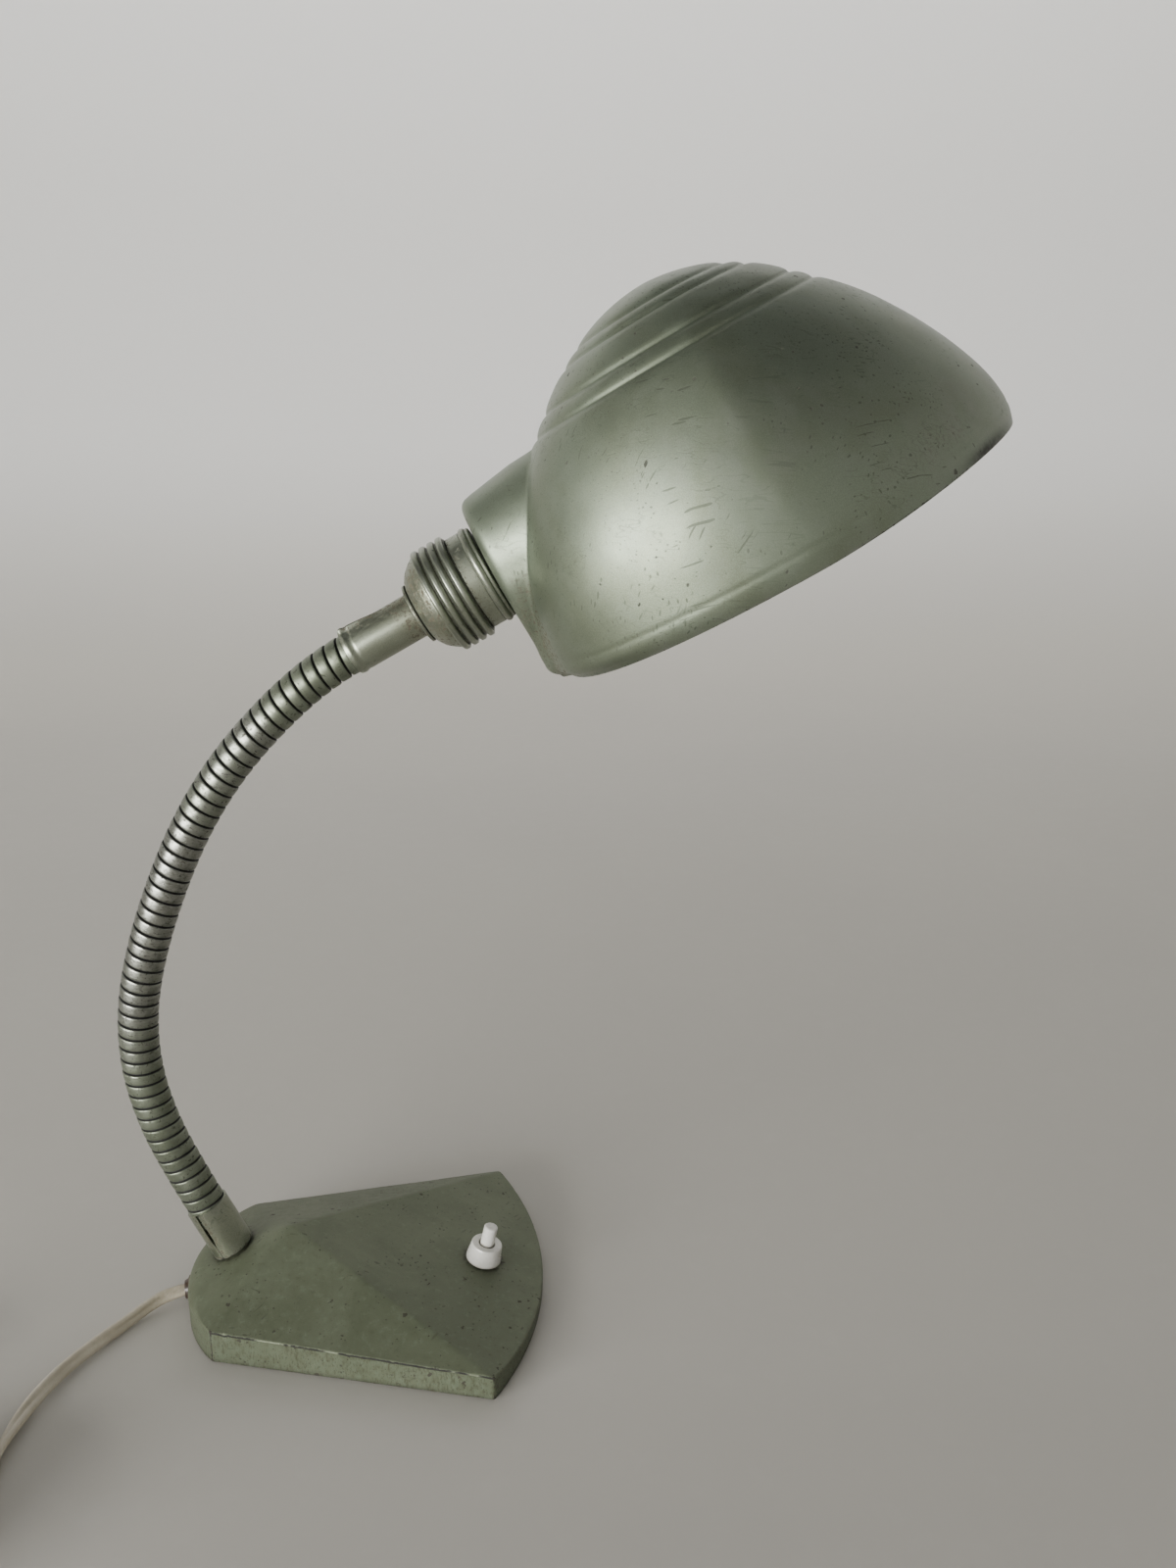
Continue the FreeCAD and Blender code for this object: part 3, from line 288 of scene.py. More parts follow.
def base_finish():
    """Flat sage paint on a rough casting, cracked along the sharp edges, soiled and darkened with painted shade at the
    foot, underneath and round the parts set into it.
    """
    g = Graph("base_lacquer")
    chip, grime_and_shade, edge = (g.attr(a) for a in ("chip", "grime_and_shade", "edge"))
    cloud = g.noise(g.mm, 0.03, 4, 0.6, 0.5)
    mott = g.noise(g.mm, 0.33, 6, 0.68, 0.2)
    fine = g.noise(g.mm, 1.9, 4, 0.6)
    col = g.mix(g.step(cloud, 0.32, 0.68), (0.132, 0.150, 0.098), (0.106, 0.122, 0.076))
    col = g.mix(g.step(mott, 0.50, 0.74, 0.0, 0.5), col, (0.180, 0.212, 0.148))
    col = g.mix(g.step(mott, 0.46, 0.30, 0.0, 0.45), col, (0.078, 0.086, 0.052))
    col = g.mix(g.step(fine, 0.62, 0.8, 0.0, 0.35), col, (0.22, 0.25, 0.19))
    col = g.mix(g.step(fine, 0.42, 0.25, 0.0, 0.35), col, (0.065, 0.068, 0.042))
    wall = g.attr("wall")
    rust = g.m("MULTIPLY", wall, g.step(g.noise(g.map(g.mm, scale=(1, 1, 0.35)), 1.3, 5, 0.72, 0.3), 0.50, 0.62))
    col = g.mix(g.m("MULTIPLY", wall, g.step(mott, 0.35, 0.62, 0.0, 0.45)), col, (0.128, 0.160, 0.108))
    col = g.mix(g.m("MULTIPLY", rust, 0.62), col, (0.060, 0.055, 0.030))
    sp1 = specks(g, 0.15, 0.20, 4, 0.40, 0.6)
    sp2 = specks(g, 0.27, 0.26, 5, 0.44, 0.55)
    sp3 = specks(g, 0.60, 0.33, 6, 0.46, 0.5)
    sp4 = g.m("MULTIPLY", specks(g, 1.1, 0.34, 7, 0.42, 0.4), g.m("ADD", 0.25, g.m("MULTIPLY", g.attr("wall"), 0.7)))
    h1 = strokes(g, (0.1, 0.1, 0.4), 0.030, 0.55, 7, 0.26, 0.46)
    h2 = strokes(g, (0.0, 0.2, 2.2), 0.035, 0.55, 8, 0.26, 0.46)
    spot = g.any_of(sp1, sp2, g.m("MULTIPLY", sp3, 0.85), sp4)
    scratch = g.any_of(h1, h2)
    col = g.mix(g.m("MULTIPLY", spot, 0.86), col, (0.030, 0.026, 0.018))
    col = g.mix(g.m("MULTIPLY", scratch, 0.62), col, (0.045, 0.045, 0.03))
    # a thin broken crack that follows the arris, with lifted pale paint beside it
    wav = g.m("MULTIPLY", g.m("SUBTRACT", g.noise(g.mm, 0.5, 6, 0.75), 0.5), 0.8)
    e = g.m("ADD", edge, wav)
    gate = g.step(g.noise(g.map(g.mm, scale=(1, 0.4, 0.4)), 0.09, 3, 0.6), 0.37, 0.44)
    crack = g.m("MULTIPLY", g.step(e, 0.78, 0.93), gate)
    lift = g.m("MULTIPLY", g.step(e, 0.45, 0.75), g.step(g.noise(g.mm, 0.8, 5, 0.7), 0.52, 0.62))
    col = g.mix(g.m("MULTIPLY", lift, 0.16), col, (0.24, 0.28, 0.21))
    col = g.mix(g.m("MULTIPLY", crack, 0.95), col, (0.012, 0.011, 0.009))
    broken = g.m("GREATER_THAN", g.m("ADD", chip, g.m("MULTIPLY", g.noise(g.mm, 0.5, 6, 0.72), 0.9)), 1.0)
    col = g.mix(g.m("MULTIPLY", broken, 0.9), col, (0.030, 0.026, 0.020))
    # painted shade with some soiling: the soot mask darkens the foot, the underside and rings round the ferrule, switch
    # and cord hole
    grime_and_shade_mask = g.m("MULTIPLY", grime_and_shade, g.step(g.noise(g.mm, 0.4, 5, 0.6), 0.25, 0.65, 0.25, 1.0))
    col = g.mix(grime_and_shade_mask, col, (0.028, 0.026, 0.018))
    bad = g.any_of(spot, crack, broken)
    r = g.fmix(bad, g.step(mott, 0.3, 0.7, 0.46, 0.60), 0.8)
    met = g.m("MULTIPLY", g.m("SUBTRACT", 1.0, bad), 0.42)
    height = g.m("ADD", g.m("MULTIPLY", g.noise(g.mm, 0.45, 5, 0.6), 0.7), g.m("MULTIPLY", fine, 0.35))
    height = g.m("SUBTRACT", height, g.m("MULTIPLY", bad, 0.8))
    height = g.m("SUBTRACT", height, g.m("MULTIPLY", scratch, 0.25))
    nrm = g.bump(height, 0.40, 0.00022)
    slow = g.bump(g.noise(g.mm, 0.05, 2), 0.3, 0.0006, nrm)
    g.set(Base_Color=col, Roughness=r, Metallic=met, Normal=slow)
    g.bsdf.inputs["Specular IOR Level"].default_value = 0.42
    return g.mat


def neck_finish():
    """Wound strip: paint left in patches on the crowns, bare steel where it is rubbed, painted shade in the seams
    darkened to near black.
    """
    g = Graph("neck_strip")
    groove, hand, green = (g.attr(a) for a in ("groove", "hand", "green"))
    v = g.map(g.uv, scale=(1, 1, 1))
    n1 = g.noise(v, 0.10, 4, 0.6)
    n2 = g.noise(g.map(v, scale=(1, 1.6, 1)), 0.55, 6, 0.7, 0.3)
    paint = g.mix(g.step(n1, 0.35, 0.65), (0.150, 0.170, 0.122), (0.205, 0.228, 0.175))
    steel = g.mix(g.step(n2, 0.35, 0.65), (0.215, 0.22, 0.195), (0.32, 0.33, 0.30))
    left = g.m("ADD", g.m("MULTIPLY", green, 0.75), g.m("MULTIPLY", n2, 0.62))
    keep = g.step(left, 0.50, 0.72)
    col = g.mix(keep, steel, paint)
    streak = hairs_uv(g, v, 0.9)
    col = g.mix(g.m("MULTIPLY", streak, 0.35), col, (0.10, 0.105, 0.085))
    blot = g.step(g.noise(v, 0.42, 6, 0.75, 0.5), 0.565, 0.62)
    col = g.mix(g.m("MULTIPLY", blot, 0.62), col, (0.045, 0.045, 0.034))
    # painted shade: the grooves between the strip's turns are darkened to near black
    dirt_and_shade = g.m("ADD", groove, g.m("MULTIPLY", g.m("SUBTRACT", g.noise(v, 1.3, 4, 0.6), 0.5), 0.35))
    dark = g.step(dirt_and_shade, 0.35, 0.85)
    col = g.mix(dark, col, (0.010, 0.010, 0.009))
    r = g.fmix(keep, g.step(n2, 0.3, 0.7, 0.26, 0.38), g.step(n2, 0.3, 0.7, 0.36, 0.46))
    r = g.fmix(g.any_of(dark, blot), r, 0.7)
    met = g.m("MULTIPLY", g.m("SUBTRACT", 1.0, dark), g.fmix(keep, 0.95, 0.78))
    height = g.m("SUBTRACT", g.m("MULTIPLY", n2, 0.5), g.m("MULTIPLY", blot, 0.4))
    g.set(Base_Color=col, Roughness=r, Metallic=met, Normal=g.bump(height, 0.3, 0.0001))
    return g.mat


def hairs_uv(g, v, keep):
    n = g.noise(g.map(v, scale=(0.05, 2.2, 1)), 1.0, 2, 0.5)
    return g.step(g.m("ABSOLUTE", g.m("SUBTRACT", n, 0.5)), 0.01, 0.03, 1.0, 0.0)


def plastic(name, a, b, rough=0.22, dirt_and_shade=(0.30, 0.28, 0.22), amount=0.25, coat=0.3, bumpy=0.12, scatter=0.05, scale=1.0):
    g = Graph(name)
    n1 = g.noise(g.mm, 0.10 * scale, 4, 0.6)
    n2 = g.noise(g.mm, 0.7 * scale, 5, 0.65, 0.2)
    n3 = g.noise(g.mm, 2.4 * scale, 3, 0.6)
    col = g.mix(g.step(n1, 0.35, 0.65), a, b)
    grime_and_shade = g.attr("grime_and_shade")
    # marks: random soiling, plus painted shade where the soot attribute marks joints with other parts
    marks = g.any_of(g.m("MULTIPLY", g.step(n2, 0.60, 0.74), amount), g.m("MULTIPLY", grime_and_shade, g.step(n2, 0.2, 0.6, 0.35, 1.0)))
    col = g.mix(marks, col, dirt_and_shade)
    h = g.any_of(hairs(g, (0.2, 0.6, 1.0), 0.06, 2.2, 11, 0.010, 0.52), hairs(g, (1.2, 0.1, 0.3), 0.06, 2.4, 12, 0.010, 0.52))
    col = g.mix(g.m("MULTIPLY", h, 0.25), col, dirt_and_shade)
    r = g.m("ADD", g.step(n2, 0.3, 0.7, rough, rough + 0.14), g.m("MULTIPLY", h, 0.2))
    height = g.m("ADD", g.m("MULTIPLY", n2, 0.5), g.m("SUBTRACT", g.m("MULTIPLY", n3, 0.3), g.m("MULTIPLY", h, 0.3)))
    g.set(Base_Color=col, Roughness=r, Normal=g.bump(height, bumpy, 0.0001))
    g.bsdf.inputs["Coat Weight"].default_value = coat
    g.bsdf.inputs["Coat Roughness"].default_value = 0.12
    g.bsdf.inputs["Subsurface Weight"].default_value = scatter
    g.bsdf.inputs["Subsurface Radius"].default_value = (0.002, 0.0016, 0.001)
    return g.mat


def metal(name, a, b, tarnish, rough=0.28, brushed=(0.04, 1.6, 1.6)):
    g = Graph(name)
    n1 = g.noise(g.mm, 0.14, 4, 0.6)
    n2 = g.noise(g.mm, 0.9, 6, 0.7, 0.3)
    lines = g.noise(g.map(g.mm, scale=brushed), 2.0, 3, 0.7)
    col = g.mix(g.step(n1, 0.35, 0.65), a, b)
    col = g.mix(g.step(n2, 0.52, 0.68, 0.0, 0.75), col, tarnish)
    col = g.mix(g.step(lines, 0.55, 0.8, 0.0, 0.25), col, tuple(min(1, x * 1.35) for x in a))
    spot = specks(g, 0.6, 0.2, 9, 0.48)
    col = g.mix(g.m("MULTIPLY", spot, 0.8), col, tuple(x * 0.3 for x in tarnish))
    r = g.m("ADD", g.step(n2, 0.35, 0.7, rough, rough + 0.22), g.m("MULTIPLY", lines, 0.08))
    height = g.m("SUBTRACT", g.m("MULTIPLY", lines, 0.4), g.m("MULTIPLY", spot, 0.5))
    g.set(Base_Color=col, Roughness=r, Metallic=g.m("SUBTRACT", 1.0, g.m("MULTIPLY", spot, 0.6)), Normal=g.bump(height, 0.18, 0.0001))
    return g.mat


def felt():
    g = Graph("felt_pad")
    n1 = g.noise(g.mm, 0.05, 4, 0.6)
    fib = g.noise(g.map(g.mm, scale=(1, 3.2, 1), rot=(0, 0, 0.6)), 1.6, 6, 0.75, 1.2)
    fib2 = g.noise(g.map(g.mm, scale=(3.0, 1, 1), rot=(0, 0, 0.2)), 1.4, 6, 0.75, 1.4)
    f = g.m("MAXIMUM", fib, fib2)
    col = g.mix(g.step(f, 0.42, 0.72), (0.020, 0.034, 0.020), (0.075, 0.105, 0.070))
    col = g.mix(g.step(n1, 0.5, 0.7, 0.0, 0.4), col, (0.10, 0.10, 0.075))
    lint = g.step(g.noise(g.map(g.mm, scale=(0.3, 4, 1)), 0.9, 3, 0.5, 2.0), 0.70, 0.74)
    col = g.mix(g.m("MULTIPLY", lint, 0.5), col, (0.35, 0.34, 0.30))
    g.set(Base_Color=col, Roughness=g.step(f, 0.4, 0.7, 0.85, 1.0), Normal=g.bump(f, 0.8, 0.0004))
    g.bsdf.inputs["Sheen Weight"].default_value = 0.5
    g.bsdf.inputs["Sheen Roughness"].default_value = 0.5
    return g.mat


def opal():
    """Frosted bulb: milky glass with faint dust."""
    g = Graph("bulb_opal")
    n1 = g.noise(g.mm, 0.06, 4, 0.6)
    n2 = g.noise(g.mm, 0.8, 5, 0.7)
    col = g.mix(g.step(n1, 0.35, 0.65), (0.86, 0.85, 0.80), (0.78, 0.76, 0.70))
    col = g.mix(g.step(n2, 0.58, 0.75, 0.0, 0.3), col, (0.50, 0.46, 0.38))
    r = g.step(n2, 0.35, 0.7, 0.16, 0.34)
    g.set(Base_Color=col, Roughness=r, Normal=g.bump(n2, 0.05, 0.0001))
    g.bsdf.inputs["Transmission Weight"].default_value = 0.35
    g.bsdf.inputs["Subsurface Weight"].default_value = 0.35
    g.bsdf.inputs["Subsurface Radius"].default_value = (0.01, 0.01, 0.008)
    g.bsdf.inputs["Coat Weight"].default_value = 0.5
    g.bsdf.inputs["Coat Roughness"].default_value = 0.08
    return g.mat


SAGE, OLIVE, PALE = (0.190, 0.224, 0.166), (0.166, 0.192, 0.134), (0.235, 0.268, 0.215)
M_SHADE = lacquer("shade_lacquer", SAGE, OLIVE, PALE, metal=0.82, rough=0.40)
M_HEAD = lacquer("head_lacquer", (0.272, 0.296, 0.232), (0.22, 0.238, 0.176), (0.32, 0.345, 0.290), metal=0.9, rough=0.31, spots=1.0)
M_BASE = base_finish()
M_NECK = neck_finish()
M_WHITE = plastic("switch_white", (0.74, 0.735, 0.70), (0.68, 0.67, 0.62), 0.20, (0.24, 0.22, 0.16), 0.30)
M_DARK = plastic("bakelite", (0.030, 0.018, 0.012), (0.045, 0.026, 0.016), 0.30, (0.10, 0.08, 0.06), 0.4, 0.2, 0.2, 0.0)
M_PORC = plastic("porcelain", (0.78, 0.76, 0.70), (0.70, 0.67, 0.60), 0.18, (0.30, 0.25, 0.17), 0.35, 0.5)
M_CORD = plastic("flex_cream", (0.66, 0.61, 0.50), (0.58, 0.53, 0.42), 0.34, (0.25, 0.21, 0.14), 0.35, 0.1, 0.18, 0.08)
M_PLUG = plastic("plug_cream", (0.62, 0.585, 0.49), (0.55, 0.51, 0.42), 0.28, (0.20, 0.17, 0.12), 0.4, 0.25, 0.15)
M_STEEL = metal("plain_steel", (0.42, 0.42, 0.40), (0.34, 0.34, 0.32), (0.14, 0.10, 0.07), 0.32)
M_BRASS = metal("old_brass", (0.56, 0.42, 0.19), (0.47, 0.34, 0.15), (0.20, 0.13, 0.06), 0.27)
M_ALU = metal("spun_aluminium", (0.62, 0.62, 0.61), (0.54, 0.54, 0.53), (0.30, 0.29, 0.27), 0.30)
M_FELT = felt()
M_OPAL = opal()

NODE_MATS = {
    M_STEEL: ("base_plate", "base_plate_screws", "neck_stud_nut", "neck_stud_washer", "holder_lock_nut", "switch_spring"),
    M_BRASS: ("neck_stud", "holder_nipple", "holder_screw_shell", "holder_contacts", "holder_terminal_screws", "switch_terminals", "switch_terminal_screws", "plug_pins"),
    M_FELT: ("base_felt",), M_DARK: ("switch_housing", "cord_bush") + tuple("neck_lead_%02d" % i for i in range(1, 11)), M_PORC: ("holder_core",), M_ALU: ("shade_ring", "bulb_cap"), M_OPAL: ("bulb_glass",),
    M_CORD: ("base_leads", "holder_leads"),
}
for mat, names in NODE_MATS.items():
    for nm in names:
        me = NODES[nm].data
        me.materials.clear()
        me.materials.append(mat)
        for p in me.polygons:
            p.material_index = 0


# ------------------------------------------------------------------ mesh helpers
def finish_mesh(name, verts, faces, mat, body=None, nodes=(), attrs=None, merge=0.0, angle=None, recalc=False, uv=None, outward=None):
    """verts in mm. attrs: {name: values per vertex}."""
    me = bpy.data.meshes.new(name)
    me.from_pydata([(float(a) * K, float(b) * K, float(c) * K) for a, b, c in verts], [], faces)
    me.update()
    for key, vals in (attrs or {}).items():
        a = me.attributes.new(key, "FLOAT", "POINT")
        a.data.foreach_set("value", np.asarray(vals, np.float32))
    if uv is not None:
        layer = me.uv_layers.new(name="UVMap")
        idx = np.zeros(len(me.loops), np.int32)
        me.loops.foreach_get("vertex_index", idx)
        layer.data.foreach_set("uv", np.asarray(uv, np.float32)[idx].ravel())
    if merge or recalc:
        bm = bmesh.new()
        bm.from_mesh(me)
        if merge:
            bmesh.ops.remove_doubles(bm, verts=bm.verts, dist=merge * K)
        if recalc:
            bmesh.ops.recalc_face_normals(bm, faces=bm.faces)
        bm.to_mesh(me)
        bm.free()
    if outward is not None:
        # flip when most faces look towards the point given
        me.update()
        c = np.array(outward) * K
        s = 0.0
        for p in me.polygons:
            s += p.area * (p.normal.dot(p.center - Vector(c)))
        if s < 0:
            me.flip_normals()
    me.polygons.foreach_set("use_smooth", [True] * len(me.polygons))
    if angle:
        me.set_sharp_from_angle(angle=math.radians(angle))
    me.materials.append(mat)
    me.update()
    ob = bpy.data.objects.new(name, me)
    scene.collection.objects.link(ob)
    if nodes:
        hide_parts(*nodes)
    if body:
        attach(ob, body)
    return ob


def grid_faces(n, m, close_m=False, close_n=False):
    """Faces of an n by m grid of vertices, row by row."""
    out = []
    for i in range(n if close_n else n - 1):
        for j in range(m if close_m else m - 1):
            a, b = i * m + j, i * m + (j + 1) % m
            c, d = ((i + 1) % n) * m + (j + 1) % m, ((i + 1) % n) * m + j
            out.append((a, b, c, d))
    return out


def rounded(points, steps=5):
    """A profile of (r, z, radius) with its corners rounded by arcs. Returns [(r, z)]."""
    out = []
    n = len(points)
    for i, (r, z, rad) in enumerate(points):
        if i in (0, n - 1) or rad <= 0:
            out.append((r, z))
            continue
        p = np.array([r, z])
        a = np.array(points[i - 1][:2]) - p
        b = np.array(points[i + 1][:2]) - p
        la, lb = np.linalg.norm(a), np.linalg.norm(b)
        a, b = a / la, b / lb
        ang = math.acos(max(-1, min(1, float(a @ b))))
        cut = min(rad / math.tan(ang / 2), 0.49 * la, 0.49 * lb)
        p0, p1 = p + a * cut, p + b * cut
        for k in range(steps + 1):
            t = k / steps
            q = (1 - t) ** 2 * p0 + 2 * t * (1 - t) * p + t ** 2 * p1
            out.append((float(q[0]), float(q[1])))
    return out


class Frame:
    """Axis frame: local (a, b, c) to the part frame. c runs along the axis."""

    def __init__(self, o, c, a):
        self.o, self.c = np.array(o, float), np.array(c, float) / np.linalg.norm(c)
        a = np.array(a, float)
        a = a - (a @ self.c) * self.c
        self.a = a / np.linalg.norm(a)
        self.b = np.cross(self.c, self.a)

    def pt(self, x, y, z):
        return self.o + x * self.a + y * self.b + z * self.c


def lathe(name, profile, fr, mat, body, nodes=(), seg=112, closed=True, attrs=None, angle=32, shape=None, subdivide=0.8):
    """Surface of revolution. attrs: {name: f(r, z, theta)}, shape: f(r, z, theta) -> (r, z)."""
    fine = []
    n = len(profile)
    for i in range(n if closed else n - 1):
        p, q = profile[i], profile[(i + 1) % n]
        k = max(1, int(math.dist(p, q) / subdivide))
        for t in range(k):
            fine.append((p[0] + (q[0] - p[0]) * t / k, p[1] + (q[1] - p[1]) * t / k))
    if not closed:
        fine.append(profile[-1])
    verts, at = [], {k: [] for k in (attrs or {})}
    for r, z in fine:
        for j in range(seg):
            th = 2 * math.pi * j / seg
            r2, z2 = shape(r, z, th) if shape else (r, z)
            verts.append(fr.pt(r2 * math.cos(th), r2 * math.sin(th), z2))
            for k, f in (attrs or {}).items():
                at[k].append(f(r, z, th))
    return finish_mesh(name, verts, grid_faces(len(fine), seg, True, closed), mat, body, nodes, at, merge=0.002, recalc=True, angle=angle)


def nz(x, y, z, s=1.0, seed=0.0):
    """Smooth noise about 0 at a point in mm, at s waves per mm."""
    return noise.noise(Vector((x * s + seed, y * s + seed * 1.7, z * s - seed)))


def bumpf(x, c, w):
    """1 at c, 0 further than w away, smooth."""
    t = np.clip(1 - np.abs((np.asarray(x, float) - c) / w), 0, 1)
    return t * t * (3 - 2 * t)


def sstep(x, lo, hi):
    t = np.clip((np.asarray(x, float) - lo) / (hi - lo), 0, 1)
    return t * t * (3 - 2 * t)


# ------------------------------------------------------------------ cord: main run, coil, tail
CX, CY, RM, ST = -153.0, -128.0, 29.0, 5.4
RUN = [(-75.87, -4.63, 5.5), (-82.6, -6.6, 4.9), (-89.2, -12.0, 3.7), (-95.4, -20.6, 2.8), (-103.2, -31.8, 2.8),
       (-111.0, -45.2, 2.8), (-116.4, -60.8, 2.8), (-118.9, -78.6, 2.8), (-118.6, -96.6, 2.8), (-118.9, -112.6, 2.8)]
TAIL = [(-187.6, -114.0, 13.0), (-188.2, -100.0, 11.6), (-188.3, -88.0, 8.6), (-188.3, -78.0, 6.9)]
PER = 14
TURNS = 8.5
# radius and height of each turn from the outside in, back out, and once more in and out on top
STEPS = [(34.4, 2.8), (29.0, 2.8), (23.8, 2.9), (24.2, 8.1), (29.0, 8.2), (33.8, 8.2), (25.0, 13.2), (30.0, 13.4), (34.8, 13.4)]
coil_pts = []
for i in range(int(PER * TURNS) + 1):
    turn = i / PER
    k = int(turn)
    f = turn - k
    r0, z0 = STEPS[min(k, 8)]
    r1, z1 = STEPS[min(k + 1, 8)]
    u = float(sstep(f, 0.72, 1.0))
    r, z = r0 + (r1 - r0) * u, z0 + (z1 - z0) * u
    if k >= 6 and f > 0.60:
        z += 0.0
    if k >= 7 and (f > 0.74 or f < 0.06):
        z += 2.2
    r = r / 0.985 + 0.5 * math.sin(2.1 * i + 0.4) * (0.35 if 0 < i < PER * TURNS - 1 else 0.0)
    a = -2 * math.pi * f
    coil_pts.append((CX + r * math.cos(a), CY + r * math.sin(a), z))
ROUTE = RUN + coil_pts + TAIL
curve = bpy.data.curves.new("flex_route", "CURVE")
curve.dimensions = "3D"
curve.resolution_u = 10
sp = curve.splines.new("NURBS")
sp.points.add(len(ROUTE) - 1)
for p, c in zip(sp.points, ROUTE):
    p.co = (c[0] * K, c[1] * K, c[2] * K, 1.0)
sp.order_u = 3
sp.use_endpoint_u = True
route_obj = bpy.data.objects.new("flex_route", curve)
scene.collection.objects.link(route_obj)
bpy.context.view_layer.update()
line = bpy.data.meshes.new_from_object(route_obj)
path = np.array([v.co[:] for v in line.vertices], float)
bpy.data.objects.remove(route_obj)
bpy.data.meshes.remove(line)
keep = [0]
for i in range(1, len(path)):
    if np.linalg.norm(path[i] - path[keep[-1]]) > 1e-5:
        keep.append(i)
path = path[keep]


def sweep(name, pts, section, roll, mat, body, nodes=(), attrs=None):
    """Sweeps a section [(side, up)] in mm along points in metres, rolled about the path. Caps both ends."""
    P = np.asarray(pts) * 1000
    T = np.gradient(P, axis=0)
    T /= np.linalg.norm(T, axis=1)[:, None]
    up = np.array([0, 0, 1.0])
    verts = []
    n, m = len(P), len(section)
    s = np.concatenate([[0], np.cumsum(np.linalg.norm(np.diff(P, axis=0), axis=1))])
    for i in range(n):
        side = np.cross(T[i], up)
        side /= np.linalg.norm(side)
        upp = np.cross(side, T[i])
        a = roll(s[i], P[i])
        ca, sa = math.cos(a), math.sin(a)
        e1, e2 = ca * side + sa * upp, -sa * side + ca * upp
        for x, y in section:
            verts.append(P[i] + x * e1 + y * e2)
    faces = grid_faces(n, m, True)
    faces.append(tuple(range(m - 1, -1, -1)))
    faces.append(tuple(range((n - 1) * m, n * m)))
    at = {k: np.repeat(f(s, P), m) for k, f in (attrs or {}).items()}
    return finish_mesh(name, verts, faces, mat, body, nodes, at, recalc=True, angle=50), s


# figure-of-eight section of two-core flex, 5.4 by 2.7 mm
sec = []
for side in (1, -1):
    for k in range(9):
        a = math.radians(-140 + 280 * k / 8) if side == 1 else math.radians(40 + 280 * k / 8)
        sec.append((side * 1.33 + 1.37 * math.cos(a), 1.37 * math.sin(a)))


def cord_roll(s, p):
    out = s - 20
    if s < 130:
        # turned on edge where it leaves the lamp, then laid over and half turned once
        return 0.25 + 0.9 * math.sin(s * 0.045) + 0.35 * math.sin(s * 0.11)
    return (0.25 + 0.9 * math.sin(130 * 0.045) + 0.35 * math.sin(130 * 0.11)) * max(0.0, 1 - (s - 130) / 60) + 0.25 * math.sin(s * 0.031)


# the soot attribute here: light all along the flex, darker over its first 30 mm from the lamp
cord, cs = sweep("flex_cord", path, sec, cord_roll, M_CORD, "base", ("cord_tube", "cord_coil", "cord_tail"),
                 {"grime_and_shade": lambda s, P: 0.25 + 0.35 * bumpf(s, 0, 30)})

# plug: rounded moulding with finger ridges and a ringed neck
PX, PZ = -188.3, 6.9


def plug_section(y):
    """(half width, half height, roundness) along the plug."""
    if y < -66:
        t = (y + 78) / 12.0
        r = 3.55 + 2.2 * t ** 1.2
        ring = 0.32 * (0.5 + 0.5 * math.cos(2 * math.pi * (y + 78) / 2.4))
        return r - ring, r - ring, 2.0
    t = (y + 66) / 25.0
    w = 15.2 - 7.5 * (1 - min(1, t / 0.30)) ** 2.0 * 1.0
    h = 6.4 - 0.9 * (1 - min(1, t / 0.25)) ** 2.0
    return w, h, 2.0 + 2.6 * min(1, t / 0.2)


rows, grime_and_shade = [], []
ys = list(np.arange(-78, -66, 0.3)) + list(np.arange(-66, -42.4, 0.35)) + [-42.2, -41.8, -41.4, -41.15, -41.02]
for y in ys:
    w, h, e = plug_section(y)
    inset = 0.0 if y < -42.6 else (1.6 - math.sqrt(max(0, 1.6 ** 2 - (y + 42.6) ** 2)))
    ridge = 0.0
    row = []
    for j in range(72):
        a = 2 * math.pi * j / 72
        c, s_ = math.cos(a), math.sin(a)
        x = math.copysign(abs(c) ** (2 / e), c) * (w - inset)
        z = math.copysign(abs(s_) ** (2 / e), s_) * (h - inset)
        if -60 < y < -46 and abs(c) > 0.55:
            x -= math.copysign(0.35 * (0.5 - 0.5 * math.cos(2 * math.pi * (y + 60) / 2.33)), x)
        row.append((PX + x, y, PZ + z))
    rows.append(row)
pv = [p for row in rows for p in row]
pf = grid_faces(len(rows), 72, True)
pf.append(tuple(range(71, -1, -1)))
last = (len(rows) - 1) * 72
pf.append(tuple(range(last, last + 72)))
# the soot attribute here is painted shade where the neck meets the body, over light overall soiling
plug = finish_mesh("plug_moulding", pv, pf, M_PLUG, "base", ("plug_body",),
                   {"grime_and_shade": [0.5 * float(bumpf(p[1], -66, 3)) + 0.1 for p in pv]}, recalc=True, angle=40)
plen = float(np.linalg.norm(np.diff(path, axis=0), axis=1).sum())
print("flex path length", round(plen, 4))

# a soft tie round the coil
tie_rows = []
ta = math.radians(118)
for k in range(64):
    a = 2 * math.pi * k / 64
    c, s_ = math.cos(a), math.sin(a)
    rr = RM + math.copysign(abs(c) ** 0.55, c) * 9.4
    zz = 8.2 + math.copysign(abs(s_) ** 0.55, s_) * 8.0
    row = []
    for w in (-2.1, -1.7, 0, 1.7, 2.1):
        t = 0.45 if abs(w) < 2 else 0.0
        n_ = np.array([c, s_])
        row.append((rr + t * c, w, zz + t * s_))
    tie_rows.append(row)
tv = []
ca, sa = math.cos(ta), math.sin(ta)
for row in tie_rows:
    for r, w, z in row:
        tv.append((CX + r * ca - w * sa, CY + r * sa + w * ca, max(0.12, z)))
tie = finish_mesh("coil_tie", tv, grid_faces(64, 5, False, True), M_DARK, "base", (), None, recalc=True, angle=60, outward=(CX + RM * ca, CY + RM * sa, 8.2))

